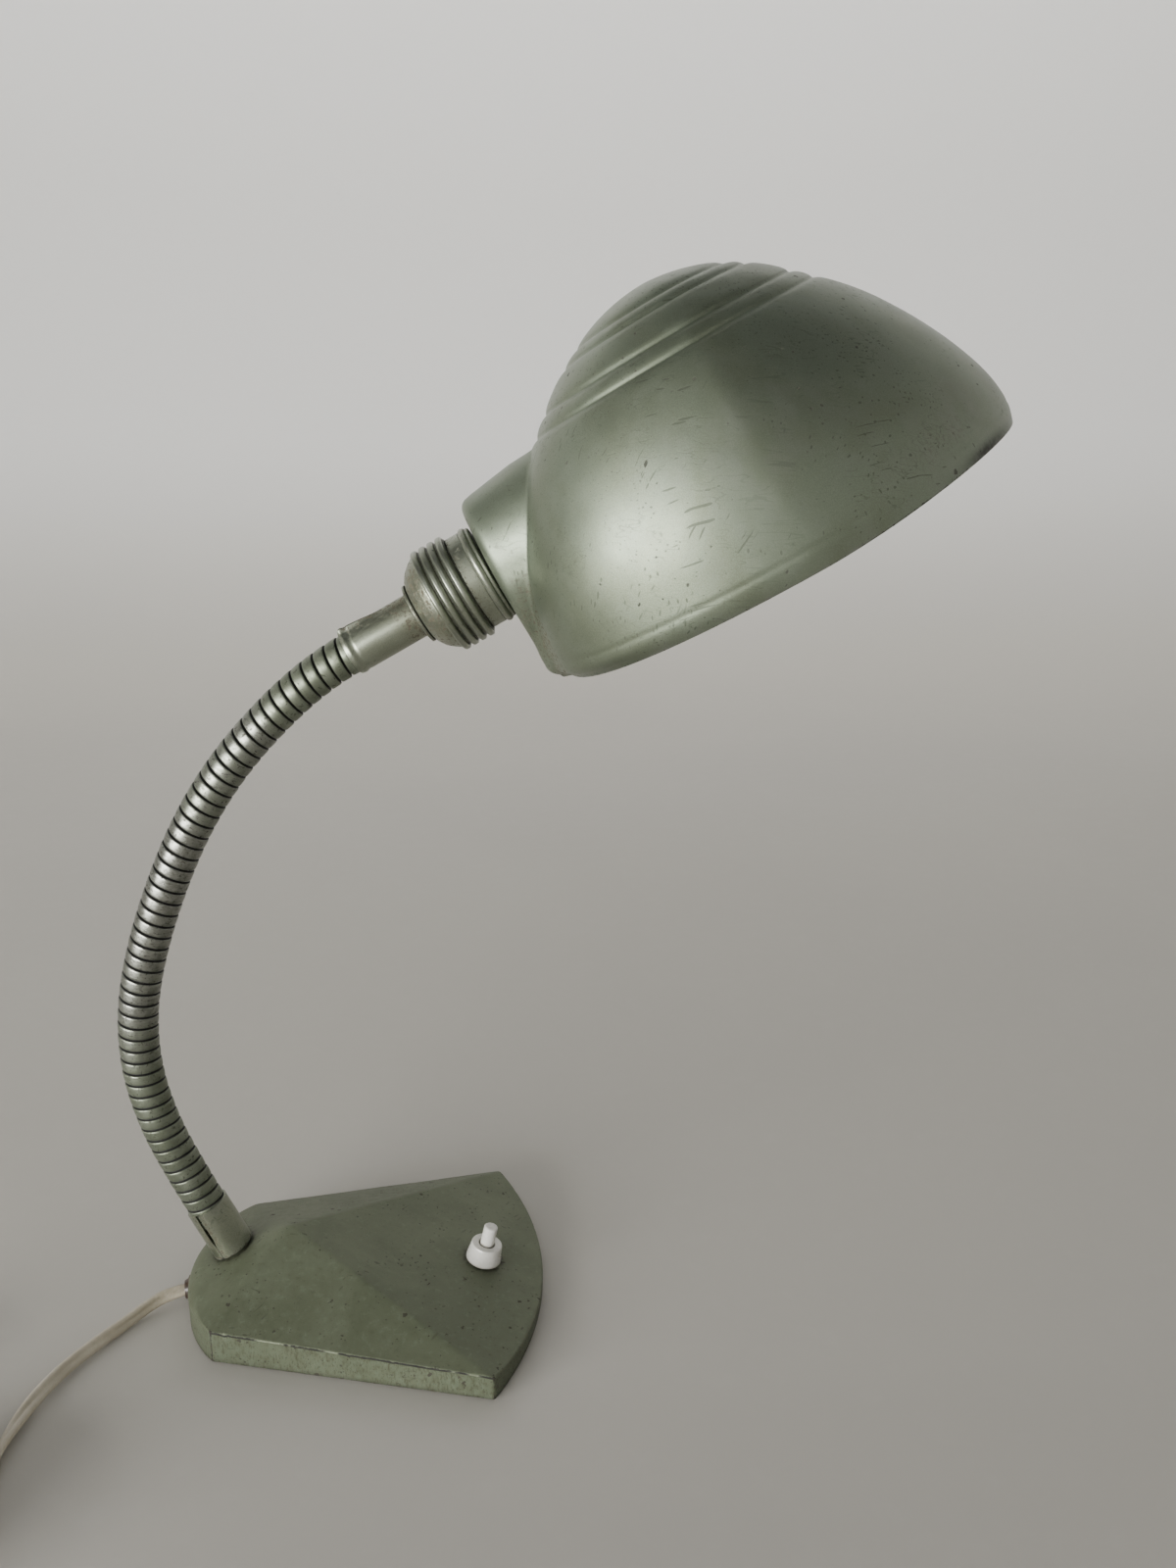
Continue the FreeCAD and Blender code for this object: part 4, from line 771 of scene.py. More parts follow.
# ------------------------------------------------------------------ the neck's line
L = 26.3167
TURN = [2.66, 10.24, 13.89, 12.39, 6.44, 4.67, 7.96, 8.71, 6.95, 11.65]
FS = np.array([-55.66, 0, 22.24])
h = math.radians(115.0)
T0 = FS + 22.8 * np.array([math.cos(h), 0, math.sin(h)])
ARCS = []
p = T0.copy()
for t in TURN:
    ARCS.append((p.copy(), h, math.radians(t)))
    t = math.radians(t)
    r = L / t
    # turning clockwise: the centre is to the right of the heading
    c = p + r * np.array([math.sin(h), 0, -math.cos(h)])
    h2 = h - t
    p = c + r * np.array([-math.sin(h2), 0, math.cos(h2)])
    h = h2
H0, HH = p.copy(), h
print("head", H0.round(3), round(math.degrees(HH), 2))


def neck_at(s):
    """Point and heading at s mm along the neck from the ferrule's mouth."""
    if s <= 0:
        h0 = math.radians(115.0)
        return T0 + s * np.array([math.cos(h0), 0, math.sin(h0)]), h0
    if s >= 10 * L:
        return H0 + (s - 10 * L) * np.array([math.cos(HH), 0, math.sin(HH)]), HH
    i = min(9, int(s / L))
    p0, h0, t = ARCS[i]
    r = L / t
    c = p0 + r * np.array([math.sin(h0), 0, -math.cos(h0)])
    h2 = h0 - t * (s - i * L) / L
    return c + r * np.array([-math.sin(h2), 0, math.cos(h2)]), h2


PITCH = 4.98
PROF = [(0.0, 6.60, 1.0), (0.040, 6.62, 1.0), (0.064, 7.05, 1.0), (0.080, 7.32, 0.8), (0.104, 7.46, 0.42), (0.150, 7.56, 0.16),
        (0.24, 7.63, 0.05), (0.40, 7.68, 0.0), (0.58, 7.72, 0.0), (0.75, 7.745, 0.02), (0.85, 7.72, 0.12), (0.900, 7.62, 0.36),
        (0.924, 7.46, 0.75), (0.940, 7.12, 1.0), (0.962, 6.64, 1.0)]
KP = len(PROF)
NU = 56
S_FIRST = -11.0


def row_s(m, th):
    n, k = divmod(m, KP)
    return S_FIRST + PITCH * (n + PROF[k][0] + th / (2 * math.pi))


def neck_piece(name, m0, m1, mat):
    verts, groove, hand, green, uv = [], [], [], [], []
    for m in range(m0, m1 + 1):
        _, rad, gr = PROF[m % KP]
        for j in range(NU + 1):
            th = 2 * math.pi * j / NU
            s = row_s(m, th)
            p, hd = neck_at(s)
            t = np.array([math.cos(hd), 0, math.sin(hd)])
            n = np.array([math.sin(hd), 0, -math.cos(hd)])      # towards the inside of the bend
            # th 0 is on the far side, +Y
            d = math.cos(th) * np.array([0, 1.0, 0]) + math.sin(th) * n
            jit = 0.035 * nz(*(p + rad * d), s=0.22)
            verts.append(p + (rad + (jit if gr < 0.2 else 0)) * d)
            groove.append(gr)
            hand.append(0.0)
            green.append(0.72 * float(sstep(s, 92, 20)) + 0.45 * float(sstep(s, 200, 262)) + 0.30 + 0.22 * nz(*p, s=0.05, seed=4))
            uv.append((th * 7.7, s))
    verts = np.array(verts)
    ob = finish_mesh(name, verts, grid_faces(m1 - m0 + 1, NU + 1), mat, None, (),
                     {"groove": groove, "hand": hand, "green": green}, uv=uv, recalc=False, angle=None)
    # outward: compare with the line of the neck
    me = ob.data
    f = me.polygons[len(me.polygons) // 2]
    j = f.vertices[0] % (NU + 1)
    m = m0 + f.vertices[0] // (NU + 1)
    c, _ = neck_at(row_s(m, 2 * math.pi * j / NU))
    if f.normal.dot(f.center - Vector(c * K)) < 0:
        me.flip_normals()
    return ob


def nearest_row(s_mid):
    n = round((s_mid - S_FIRST) / PITCH - 0.5)
    return int(n) * KP


# The strip is made in six pieces, cut in its grooves at the five bending joints; the first goes with the base, the last
# with the head, and the four between stay where they are built.
edges = [0] + [nearest_row(i * L) for i in (1, 3, 5, 7, 9)] + [nearest_row(10 * L + 11.0 - 2)]
for q in range(6):
    ob = neck_piece("gooseneck_%02d" % q, edges[q], edges[q + 1], M_NECK)
    if q == 0:
        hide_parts("neck_conduit_01")
        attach(ob, "base")
    elif q == 5:
        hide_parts("neck_conduit_10")
        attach(ob, "head")
    else:
        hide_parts("neck_conduit_%02d" % (2 * q), "neck_conduit_%02d" % (2 * q + 1))
        a, _ = neck_at(2 * q * L - 15.0)
        b, _ = neck_at(2 * q * L + 15.0)
        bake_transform(ob)

# ------------------------------------------------------------------ ferrule and top sleeve
h0 = math.radians(115.0)
AX = np.array([math.cos(h0), 0, math.sin(h0)])
# angle 0 points to the near side and a little to the back
fer = Frame(FS, AX, (-0.30, -1.0, 0.0))


def rolled_tube(name, fr, r, wall, z0, z1, gap, lip, mat, body, nodes, extra=None, beads=()):
    """Sheet rolled into a tube with an open seam at angle 0. gap(z): half opening in mm, lip(z): how far its edges stand up."""
    zs = [z0, z0 + 0.12] + list(np.arange(z0 + 0.5, z1 - 0.3, 0.45)) + [z1 - 0.12, z1]
    seg = 116
    outer, inner = [], []
    for z in zs:
        g_ = gap(z) / r
        ro, ri = [], []
        for j in range(seg + 1):
            th = g_ + (2 * math.pi - 2 * g_) * (0.5 - 0.5 * math.cos(math.pi * j / seg) * (1.0))
            # even spacing, closer together at the seam
            th = g_ + (2 * math.pi - 2 * g_) * (0.72 * j / seg + 0.28 * (0.5 - 0.5 * math.cos(math.pi * j / seg)))
            d = min(th - 0, 2 * math.pi - th) * r
            up = lip(z) * max(0.0, 1 - (d - gap(z)) / 1.8) ** 2 if d > gap(z) else lip(z)
            rr = r + up + sum(hh * max(0.0, 1 - ((z - zc) / w) ** 2) for zc, w, hh in beads)
            if z in (z0, z1):
                rr -= 0.18
            rr += 0.05 * nz(10 * math.cos(th), 10 * math.sin(th), z, 0.09, 3)
            ro.append((th, rr, z))
            ri.append((th, rr - wall, z))
        outer.append(ro)
        inner.append(ri)
    n, m = len(zs), seg + 1
    loc = [q for row in outer for q in row] + [q for row in inner for q in row]
    verts = [fr.pt(rr * math.cos(th), rr * math.sin(th), z) for th, rr, z in loc]
    f = grid_faces(n, m) + [tuple(reversed([i + n * m for i in q])) for q in grid_faces(n, m)]
    o = n * m
    for i in range(n - 1):
        f.append((i * m, (i + 1) * m, (i + 1) * m + o, i * m + o))
        f.append((i * m + m - 1, i * m + m - 1 + o, (i + 1) * m + m - 1 + o, (i + 1) * m + m - 1))
    for j in range(m - 1):
        f.append((j, j + o, j + 1 + o, j + 1))
        b = (n - 1) * m
        f.append((b + j, b + j + 1, b + j + 1 + o, b + j + o))
    at = {k: [fn(th, rr, z) for th, rr, z in loc] for k, fn in (extra or {}).items()}
    return finish_mesh(name, verts, f, mat, body, nodes, at, recalc=True, angle=38)


def near(th, w):
    d = min(th % (2 * math.pi), 2 * math.pi - th % (2 * math.pi))
    return max(0.0, 1 - d / w)


# the soot attribute here is painted shade where the ferrule enters the base and along its open seam
rolled_tube("neck_ferrule_tube", fer, 8.42, 0.6, 0.4, 22.8,
            lambda z: 0.10 + 0.62 * float(sstep(z, 6.0, 11.0)) * (1 - 0.25 * float(sstep(z, 17, 22))), lambda z: 0.12 * float(sstep(z, 4, 10)),
            M_HEAD, "base", ("neck_ferrule",),
            {"rub": lambda th, rr, z: 0.4 * float(bumpf(z, 22, 3)), "chip": lambda th, rr, z: 0.42 * near(th, 0.22) + 0.35 * float(bumpf(z, 22.8, 1.2)) + 0.30 * float(bumpf(z, 0.4, 1.5)),
             "rust": lambda th, rr, z: 0.8 * near(th, 0.5) + 0.5 * float(bumpf(z, 0, 4)), "grime_and_shade": lambda th, rr, z: 0.75 * float(bumpf(z, 0.2, 1.6)) + 0.5 * max(0, near(th, 0.14))})

cH, sH = math.cos(HH), math.sin(HH)
R_AX = np.array([-sH, 0, cH])       # away from the shade's opening
A_AX = np.array([cH, 0, sH])
head_fr = Frame(H0, A_AX, R_AX)     # a = up (r), c = along (s), b = c x a
sleeve_fr = Frame(H0, A_AX, (R_AX[0], -0.34, R_AX[2]))
# the soot attribute here is painted shade at the sleeve's end against the flange and along its open seam
rolled_tube("top_sleeve_tube", sleeve_fr, 8.55, 0.6, 0.05, 28.6,
            lambda z: 0.06 + 0.42 * float(sstep(z, 20, 14)), lambda z: 1.35 * float(sstep(z, 21, 3)) * float(sstep(z, -0.5, 1.2)) + 0.05,
            M_HEAD, "head", ("neck_top_sleeve",),
            {"rub": lambda th, rr, z: 0.7 * near(th, 0.35) * float(sstep(z, 20, 10)), "chip": lambda th, rr, z: 0.45 * near(th, 0.16) * float(sstep(z, 21, 14)) + 0.3 * float(bumpf(z, 0.0, 0.8)),
             "rust": lambda th, rr, z: 0.75 * float(bumpf(z, 27.5, 9)) + 0.5 * near(th, 0.9), "grime_and_shade": lambda th, rr, z: 0.8 * float(bumpf(z, 28.6, 1.0)) + 0.55 * near(th, 0.10) * float(sstep(z, 20, 14))},
            beads=((1.6, 1.15, 0.32), (3.7, 0.55, -0.16)))

# ------------------------------------------------------------------ lampholder
# the soot attribute on the flange is painted shade where it meets the cap and round the sleeve
lathe("holder_flange_ring", rounded([(5.2, 28.70, 0), (10.6, 28.70, 0.3), (11.5, 29.0, 0.4), (11.5, 29.9, 0.35), (11.1, 30.10, 0.1), (5.2, 30.10, 0)]),
      head_fr, M_HEAD, "head", ("holder_flange",),
      attrs={"grime_and_shade": lambda r, z, t: 0.9 * float(sstep(z, 29.6, 30.0)) + 0.6 * float(bumpf(r, 8.9, 0.8)) * float(z < 29), "chip": lambda r, z, t: 0.30 * float(bumpf(r, 11.5, 0.4)),
             "rub": lambda r, z, t: 0.3, "rust": lambda r, z, t: 0.4})
cap = [(8.0, 31.5, 0), (10.9, 30.3, 0.6), (12.7, 30.9, 1.6), (15.2, 32.7, 2.5), (17.3, 35.2, 2.5), (18.4, 37.0, 1.2), (18.75, 37.75, 0.2)]
for j in range(4):
    c = 39.0 + 3.4 * j
    cap += [(18.75, c - 1.30, 0.25), (19.55, c - 1.22, 0.5), (20.2, c - 0.75, 0.8), (20.2, c + 0.75, 0.8), (19.55, c + 1.22, 0.5), (18.75, c + 1.30, 0.25)]
cap += [(18.7, 50.9, 0.2), (18.1, 51.0, 0), (17.5, 51.0, 0), (17.5, 38.6, 0), (16.0, 34.8, 0), (12.0, 32.4, 0)]
RIBS = [39.0 + 3.4 * j for j in range(4)]


# painted shade in the grooves between the cap's ribs and where the cap meets the flange
def groove_and_joint_shade(r, z, t):
    if r < 17.6 and z > 31:
        return 0.0
    deep = 1.0 if r < 19.1 and z > 38 else 0.0
    return 0.66 * deep + 0.5 * float(bumpf(z, 30.4, 0.9))


lathe("holder_cap_ribbed", rounded(cap, 6), head_fr, M_HEAD, "head", ("holder_cap",), seg=160, angle=50, subdivide=0.6,
      attrs={"grime_and_shade": groove_and_joint_shade, "rust": lambda r, z, t: 0.95 * float(bumpf(z, 34.5, 4.5)) * (0.35 + 0.65 * max(0.0, math.cos(t - math.radians(60)))) + 0.35 * float(r < 19.1),
             "rub": lambda r, z, t: 0.65 * float(r > 20.0), "chip": lambda r, z, t: 0.18 * float(r > 20.05)})
# the soot attribute here is painted shade: at the joint with the cap, in the grooves beside the bead, and near black on
# the end wall and nose facing the shade's back
lathe("holder_shell_skirt", rounded([(17.0, 51.15, 0), (17.8, 51.15, 0.15), (18.0, 51.6, 0.2), (18.0, 56.25, 0.35), (17.82, 56.55, 0.2), (18.55, 57.1, 0.35), (18.8, 57.7, 0.5), (18.8, 58.3, 0.5),
                                     (18.55, 58.9, 0.35), (17.95, 59.3, 0.3), (18.0, 60.2, 0.3), (17.6, 60.6, 0.25), (15.0, 60.6, 0.1), (15.0, 76.0, 0.15), (13.9, 76.0, 0.15), (13.9, 59.4, 0), (16.3, 59.4, 0), (16.3, 51.15, 0)], 5),
      head_fr, M_HEAD, "head", ("holder_shell",), seg=160, angle=45, subdivide=0.7,
      attrs={"grime_and_shade": lambda r, z, t: 0.85 * float(bumpf(z, 51.2, 0.7)) + 0.55 * float(bumpf(z, 56.5, 0.35)) * float(r > 17) + 0.5 * float(bumpf(z, 59.35, 0.4)) * float(r > 17) + 0.9 * float(z > 60.5 and r < 17.3),
             "rust": lambda r, z, t: 0.22 + 0.3 * float(bumpf(z, 51.5, 2)), "rub": lambda r, z, t: 0.55 * float(r > 18.6), "chip": lambda r, z, t: 0.12 * float(r > 18.7)})

# ------------------------------------------------------------------ shade
LEVELS = np.array([(-46.0, 62.9, 252.0), (-32.0, 63.4, 251.0), (-18.0, 65.2, 246.2), (-4.0, 69.8, 239.0), (10.0, 77.5, 230.0),
                   (24.0, 88.0, 218.7), (36.0, 101.4, 206.0), (46.0, 114.4, 194.0), (53.0, 127.0, 182.0), (57.4, 140.0, 169.0)])
TOP_R, TOP_S = 59.1, 155.0


def spline(x, y, q):
    """Natural cubic through (x, y), held at its end slopes."""
    n = len(x)
    hh = np.diff(x)
    A = np.zeros((n, n))
    b = np.zeros(n)
    A[0, 0] = A[-1, -1] = 1
    for i in range(1, n - 1):
        A[i, i - 1], A[i, i], A[i, i + 1] = hh[i - 1], 2 * (hh[i - 1] + hh[i]), hh[i]
        b[i] = 6 * ((y[i + 1] - y[i]) / hh[i] - (y[i] - y[i - 1]) / hh[i - 1])
    mm = np.linalg.solve(A, b)
    q = np.asarray(q, float)
    i = np.clip(np.searchsorted(x, q) - 1, 0, n - 2)
    t0, t1 = q - x[i], x[i + 1] - q
    return (mm[i] * t1 ** 3 + mm[i + 1] * t0 ** 3) / (6 * hh[i]) + (y[i] / hh[i] - mm[i] * hh[i] / 6) * t1 + (y[i + 1] / hh[i] - mm[i + 1] * hh[i] / 6) * t0


rootv = np.sqrt(TOP_R - LEVELS[:, 0])
KB = (TOP_S - LEVELS[:, 1]) / rootv
KF = (LEVELS[:, 2] - TOP_S) / rootv


def ends(r):
    """Back and front of the bowl at level r."""
    q = min(r, 57.4)
    root = math.sqrt(max(1e-9, TOP_R - r))
    kb = float(spline(LEVELS[:, 0], KB, q))
    kf = float(spline(LEVELS[:, 0], KF, q))
    heel = 3.0 * max(0.0, (-40.5 - r) / 5.5) ** 2.2
    return TOP_S - kb * root + heel, TOP_S + kf * root


def half_width(r):
    u = min(1.0, (r + 46.0) / 105.1)
    return 80.0 * (1 - u ** 2.25) ** (1 / 2.25)


def outline(r, inset):
    """The bowl's plan at level r as polar (angle, distance) about its own middle."""
    b, f = ends(r)
    w = half_width(r)
    mid = b + (f - b) * 0.48
    t = np.linspace(0, 2 * np.pi, 721)
    c, s = np.cos(t), np.sin(t)
    narrow = 1 - np.where(c > 0, 0.35, 0.105) * np.abs(c) ** 1.5
    x = np.where(c > 0, (f - mid) * c, (mid - b) * c * (1 + 0.28 * (1 - c * c)))
    y = s * w * narrow
    a = np.unwrap(np.arctan2(y, x))
    return mid, a, np.hypot(x, y)


# levels: finer at the ridges, at the lip and over the boss
lev = list(np.arange(-46, -35.0, 0.45)) + list(np.arange(-35.0, 12, 1.15)) + list(np.arange(12, 29.0, 0.55)) + list(np.arange(29.0, 53.0, 0.27))
x = math.sqrt(TOP_R - 53.0)
lev += [TOP_R - (x * (1 - k / 30.0)) ** 2 for k in range(30)]
lev = np.array(lev)
# angles: 0 is the tip. Closer together over the boss at the back
ang = np.concatenate([np.linspace(0, 2.15, 110, endpoint=False), np.linspace(2.15, 2 * np.pi - 2.15, 300, endpoint=False), np.linspace(2 * np.pi - 2.15, 2 * np.pi, 110, endpoint=False)])


def smin(a, b, k):
    hh = np.clip(0.5 + 0.5 * (b - a) / k, 0, 1)
    return b * (1 - hh) + a * hh - k * hh * (1 - hh)


def smax(a, b, k):
    return -smin(-a, -b, k)


def back_plane(r):
    return 61.0 + 0.75 * sstep(r, -10, 22) + 2.8 * max(0.0, (-40.5 - r) / 5.5) ** 2.2


def shade_rho(r):
    mid, a, d = outline(r, 0)
    rb = np.interp(ang, a, d)
    if r > 30:
        return mid, rb
    lo, hi = np.zeros_like(ang) + 1.0, np.zeros_like(ang) + 130.0
    for _ in range(34):
        m = (lo + hi) / 2
        s, y = mid + m * np.cos(ang), m * np.sin(ang)
        # flares towards the bowl, more at the sides than on top, and narrows down to the heel
        side = np.abs(y) / np.maximum(np.hypot(y, max(r, 0)), 1e-6)
        R = 23.6 + (3.6 + 5.5 * side ** 2) * np.clip((s - 62) / 30, 0, 1.2)
        R = R * (1 - 0.62 * float(sstep(-r, 4, 46)))
        q = np.hypot(y, max(r, 0) * 0.885)
        f_boss = smax(back_plane(r) - s, q - R, 4.6)
        f_boss = np.maximum(f_boss, s - 118)
        f = smin(f_boss, m - rb, 0.5 + 6.5 * float(sstep(-r, 20, 40)))
        inside = f < 0
        lo, hi = np.where(inside, m, lo), np.where(inside, hi, m)
    return mid, (lo + hi) / 2


def ridge_depth(r):
    """How far the sheet is pressed in at level r: two beads, each between a pair of crisp creases with rolled shoulders."""
    d = 0.0
    for c, w, dep in ((51.8, 0.80, 1.25), (48.1, 0.80, 1.35), (38.3, 0.90, 1.45), (32.6, 0.90, 1.30)):
        d += dep * math.exp(-math.sqrt((r - c) ** 2 + 0.09) / w)
    return d


def lip_depth(r):
    d = 0.16 * math.exp(-((r + 38.2) / 1.1) ** 2)
    if r < -38.2:
        d += 1.25 * ((-38.2 - r) / 7.8) ** 1.5
    return d


n_r, n_a = len(lev), len(ang)
P = np.zeros((n_r, n_a, 3))
for i, r in enumerate(lev):
    mid, rho = shade_rho(r)
    P[i, :, 0] = mid + rho * np.cos(ang)
    P[i, :, 1] = rho * np.sin(ang)
    P[i, :, 2] = r
# outward normals of the smooth form
dA = np.roll(P, -1, 1) - np.roll(P, 1, 1)
dR = np.gradient(P, axis=0)
N = np.cross(dA, dR)
N /= np.linalg.norm(N, axis=2)[:, :, None] + 1e-12
if (N[5, 0, 0]) < 0:
    N = -N
on_bowl = np.ones((n_r, n_a))
for i, r in enumerate(lev):
    mid, a, d = outline(r, 0)
    on_bowl[i] = (np.hypot(P[i, :, 0] - mid, P[i, :, 1]) - np.interp(ang, a, d)) < 0.9
depth = np.array([ridge_depth(r) + lip_depth(r) for r in lev])
wob = np.zeros((n_r, n_a))
for i in range(n_r):
    for j in range(n_a):
        wob[i, j] = 0.22 * nz(P[i, j, 0], P[i, j, 1], P[i, j, 2], 0.022, 5) + 0.05 * nz(P[i, j, 0], P[i, j, 1], P[i, j, 2], 0.09, 9)
outer = P - N * (depth[:, None] + 0.18 + wob)[:, :, None] * 1.0
outer[0, :, 2] = -45.75
inner = P - N * (depth[:, None] + 0.18 + wob + 0.85)[:, :, None]
inner[0, :, 2] = -45.75
top_o = np.array([TOP_S, 0, TOP_R - 0.35 - depth[-1]])
top_i = top_o - np.array([0, 0, 0.85])

loc = np.concatenate([outer.reshape(-1, 3), [top_o], inner.reshape(-1, 3), [top_i]])
no = n_r * n_a + 1
faces = grid_faces(n_r, n_a, True)
b = (n_r - 1) * n_a
faces += [(b + j, b + (j + 1) % n_a, no - 1) for j in range(n_a)]
inn = [tuple(no + q for q in reversed(f)) for f in grid_faces(n_r, n_a, True)]
inn += [tuple(no + q for q in reversed((b + j, b + (j + 1) % n_a, no - 1))) for j in range(n_a)]
# mouth for the lampholder in the flat back
HOLE = 15.12


def cut_hole(fs):
    keep, edge = [], set()
    for f in fs:
        c = loc[list(f)]
        d = np.hypot(c[:, 1], c[:, 2])
        if c[:, 0].max() < 70 and d.min() < HOLE - 0.9 and d.max() < HOLE + 0.6:
            continue
        keep.append(f)
    return keep


faces, inn = cut_hole(faces), cut_hole(inn)
# pull the ragged edge of the hole on to its circle
from_edges = {}
for f in faces + inn:
    for q in range(len(f)):
        e = tuple(sorted((f[q], f[(q + 1) % len(f)])))
        from_edges[e] = from_edges.get(e, 0) + 1
rim_o = [e for e, k in from_edges.items() if k == 1]
for e in rim_o:
    for q in e:
        if loc[q, 0] < 72 and abs(loc[q, 2]) < 20 and math.hypot(loc[q, 1], loc[q, 2]) < 19:
            d = math.hypot(loc[q, 1], loc[q, 2])
            loc[q, 1] *= HOLE / d
            loc[q, 2] *= HOLE / d
# rolled lip between the two sheets
lip = []
base_o, base_i = np.arange(n_a), no + np.arange(n_a)
extra = []
for k, (t, drop) in enumerate(((0.22, 0.22), (0.5, 0.30), (0.78, 0.22))):
    row = loc[base_o] * (1 - t) + loc[base_i] * t
    row[:, 2] = -45.75 - drop * 0.8
    extra.append(row)
start = len(loc)
loc = np.concatenate([loc] + extra)
ring = [base_o] + [start + k * n_a + np.arange(n_a) for k in range(3)] + [base_i]
for k in range(4):
    for j in range(n_a):
        j2 = (j + 1) % n_a
        lip.append((int(ring[k][j]), int(ring[k + 1][j]), int(ring[k + 1][j2]), int(ring[k][j2])))
allf = [tuple(int(q) for q in f) for f in faces + inn + lip]
S, Y, R_ = loc[:, 0], loc[:, 1], loc[:, 2]
isin = np.zeros(len(loc), bool)
isin[no:start] = True
along_f = (S - 62) / 190.0
rub = 0.55 * np.exp(-((S - 216) / 30) ** 2 - ((R_ + 30) / 14) ** 2) + 0.42 * np.exp(-((S - 150) / 34) ** 2 - ((R_ + 4) / 22) ** 2) + 0.95 * sstep(R_, -44.6, -45.6) + 0.25 * sstep(R_, -39, -44)
rub = np.where(isin, 0.05, np.clip(rub, 0, 1))
chip = 0.40 * sstep(R_, -44.4, -45.7) + 0.10 * sstep(R_, -40, -45) + 0.10 * np.exp(-((S - 215) / 30) ** 2 - ((R_ + 42) / 6) ** 2)
boss = (S < 92) & (np.abs(Y) < 27.5) & (R_ < 28)
rust = np.where(boss, 0.75 * np.exp(-((S - 70) / 9) ** 2) * sstep(R_, 8, -26), 0.0) + 0.22 * np.exp(-((S - 210) / 20) ** 2 - ((R_ + 32) / 9) ** 2)
dd = np.array([ridge_depth(r) for r in R_])
# painted shade in the pressed grooves between the ridges, plus a near-black mark on the rim lip near the tip
grime_and_shade = np.clip((dd - 0.75) * 0.75, 0, 0.40) * (R_ > 25) * (R_ < 54) + 0.9 * np.exp(-((S - 226) / 12) ** 2 - ((R_ + 44.6) / 2.2) ** 2)
grime_and_shade = np.where(isin, 0.06, grime_and_shade)
o_, a_, b_, c_ = head_fr.o, head_fr.a, head_fr.b, head_fr.c
world = o_ + np.outer(loc[:, 2], R_AX) + np.outer(loc[:, 1], np.array([0, 1.0, 0])) + np.outer(loc[:, 0], A_AX)
M_INNER = lacquer("shade_inside", (0.50, 0.51, 0.48), (0.44, 0.45, 0.41), (0.58, 0.59, 0.56), metal=0.70, rough=0.42, spots=0.8)
shade = finish_mesh("shade_pressing", world, allf, M_SHADE, "shade", ("shade",),
                    {"rub": rub, "chip": chip, "rust": rust, "grime_and_shade": grime_and_shade}, recalc=False, angle=None)
me = shade.data
me.materials.append(M_INNER)
idx = np.zeros(len(me.polygons), np.int32)
first_in = no
for p in me.polygons:
    if all(q >= first_in for q in p.vertices) and all(q < start for q in p.vertices):
        idx[p.index] = 1
me.polygons.foreach_set("material_index", idx)
bm = bmesh.new()
bm.from_mesh(me)
bmesh.ops.recalc_face_normals(bm, faces=bm.faces)
bm.to_mesh(me)
bm.free()
me.polygons.foreach_set("use_smooth", [True] * len(me.polygons))

# ------------------------------------------------------------------ base casting
AXX, AZ = -31.7, 31.7
XB, YB, XBA, ZB, ZBA = -56.0, 42.3, -73.5, 14.2, 16.0
XF, YF, XFA, ZF = 54.3, 68.7, 73.5, 10.5


def circle3(p, q, r):
    ax, ay, bx, by, cx, cy = *p, *q, *r
    d = 2 * (ax * (by - cy) + bx * (cy - ay) + cx * (ay - by))
    ux = ((ax * ax + ay * ay) * (by - cy) + (bx * bx + by * by) * (cy - ay) + (cx * cx + cy * cy) * (ay - by)) / d
    uy = ((ax * ax + ay * ay) * (cx - bx) + (bx * bx + by * by) * (ax - cx) + (cx * cx + cy * cy) * (bx - ax)) / d
    return ux, uy, math.hypot(ax - ux, ay - uy)


FC = circle3((XF, -YF), (XFA, 0), (XF, YF))
BC = circle3((XB, -YB), (XBA, 0), (XB, YB))
PH_F = math.atan2(YF, XF - AXX)                 # direction of the front corners from the apex
PH_B = math.atan2(YB, XB - AXX)                 # direction of the back corners


def ray_circle(phi, c):
    dx, dy = np.cos(phi), np.sin(phi)
    ox, oy = AXX - c[0], -c[1]
    bq = ox * dx + oy * dy
    cq = ox * ox + oy * oy - c[2] ** 2
    return -bq + np.sqrt(np.maximum(bq * bq - cq, 0))


def edge_of(phi):
    """Distance from the apex to the outline and the height there, for directions phi."""
    phi = (np.asarray(phi, float) + np.pi) % (2 * np.pi) - np.pi
    a = np.abs(phi)
    front, back = a <= PH_F, a >= PH_B
    # straight side from the back corner to the front corner
    x1, y1, x2, y2 = XB - AXX, YB, XF - AXX, YF
    dx, dy = np.cos(a), np.sin(a)
    den = dx * (y2 - y1) - dy * (x2 - x1)
    rs = (x1 * (y2 - y1) - y1 * (x2 - x1)) / np.where(np.abs(den) < 1e-9, 1e-9, den)
    rho = np.where(front, ray_circle(a, FC), np.where(back, ray_circle(a, BC), rs))
    X = AXX + rho * dx
    zf = AZ - (X - AXX) * (AZ - ZF) / (XF - AXX)
    f = np.clip(((XF - X) * (XF - XB) + (YF - rho * dy) * (YF - YB)) / ((XF - XB) ** 2 + (YF - YB) ** 2), 0, 1)
    zs = ZF + (ZB - ZF) * f
    w = np.clip((a - PH_B) / (np.pi - PH_B), 0, 1)
    zb = ZB + (ZBA - ZB) * np.sin(w * np.pi / 2)
    return rho, np.where(front, zf, np.where(back, zb, zs))


def roof(x, y):
    phi = np.arctan2(y, x - AXX)
    rho, ze = edge_of(phi)
    return AZ + (ze - AZ) * np.hypot(x - AXX, y) / rho


def soft_roof(x, y, w=1.5):
    out = 2.0 * roof(x, y)
    for k in range(10):
        a = 2 * math.pi * k / 10
        out = out + roof(x + w * math.cos(a), y + w * math.sin(a)) + 0.6 * roof(x + 0.5 * w * math.cos(a), y + 0.5 * w * math.sin(a))
    return out / 18.0


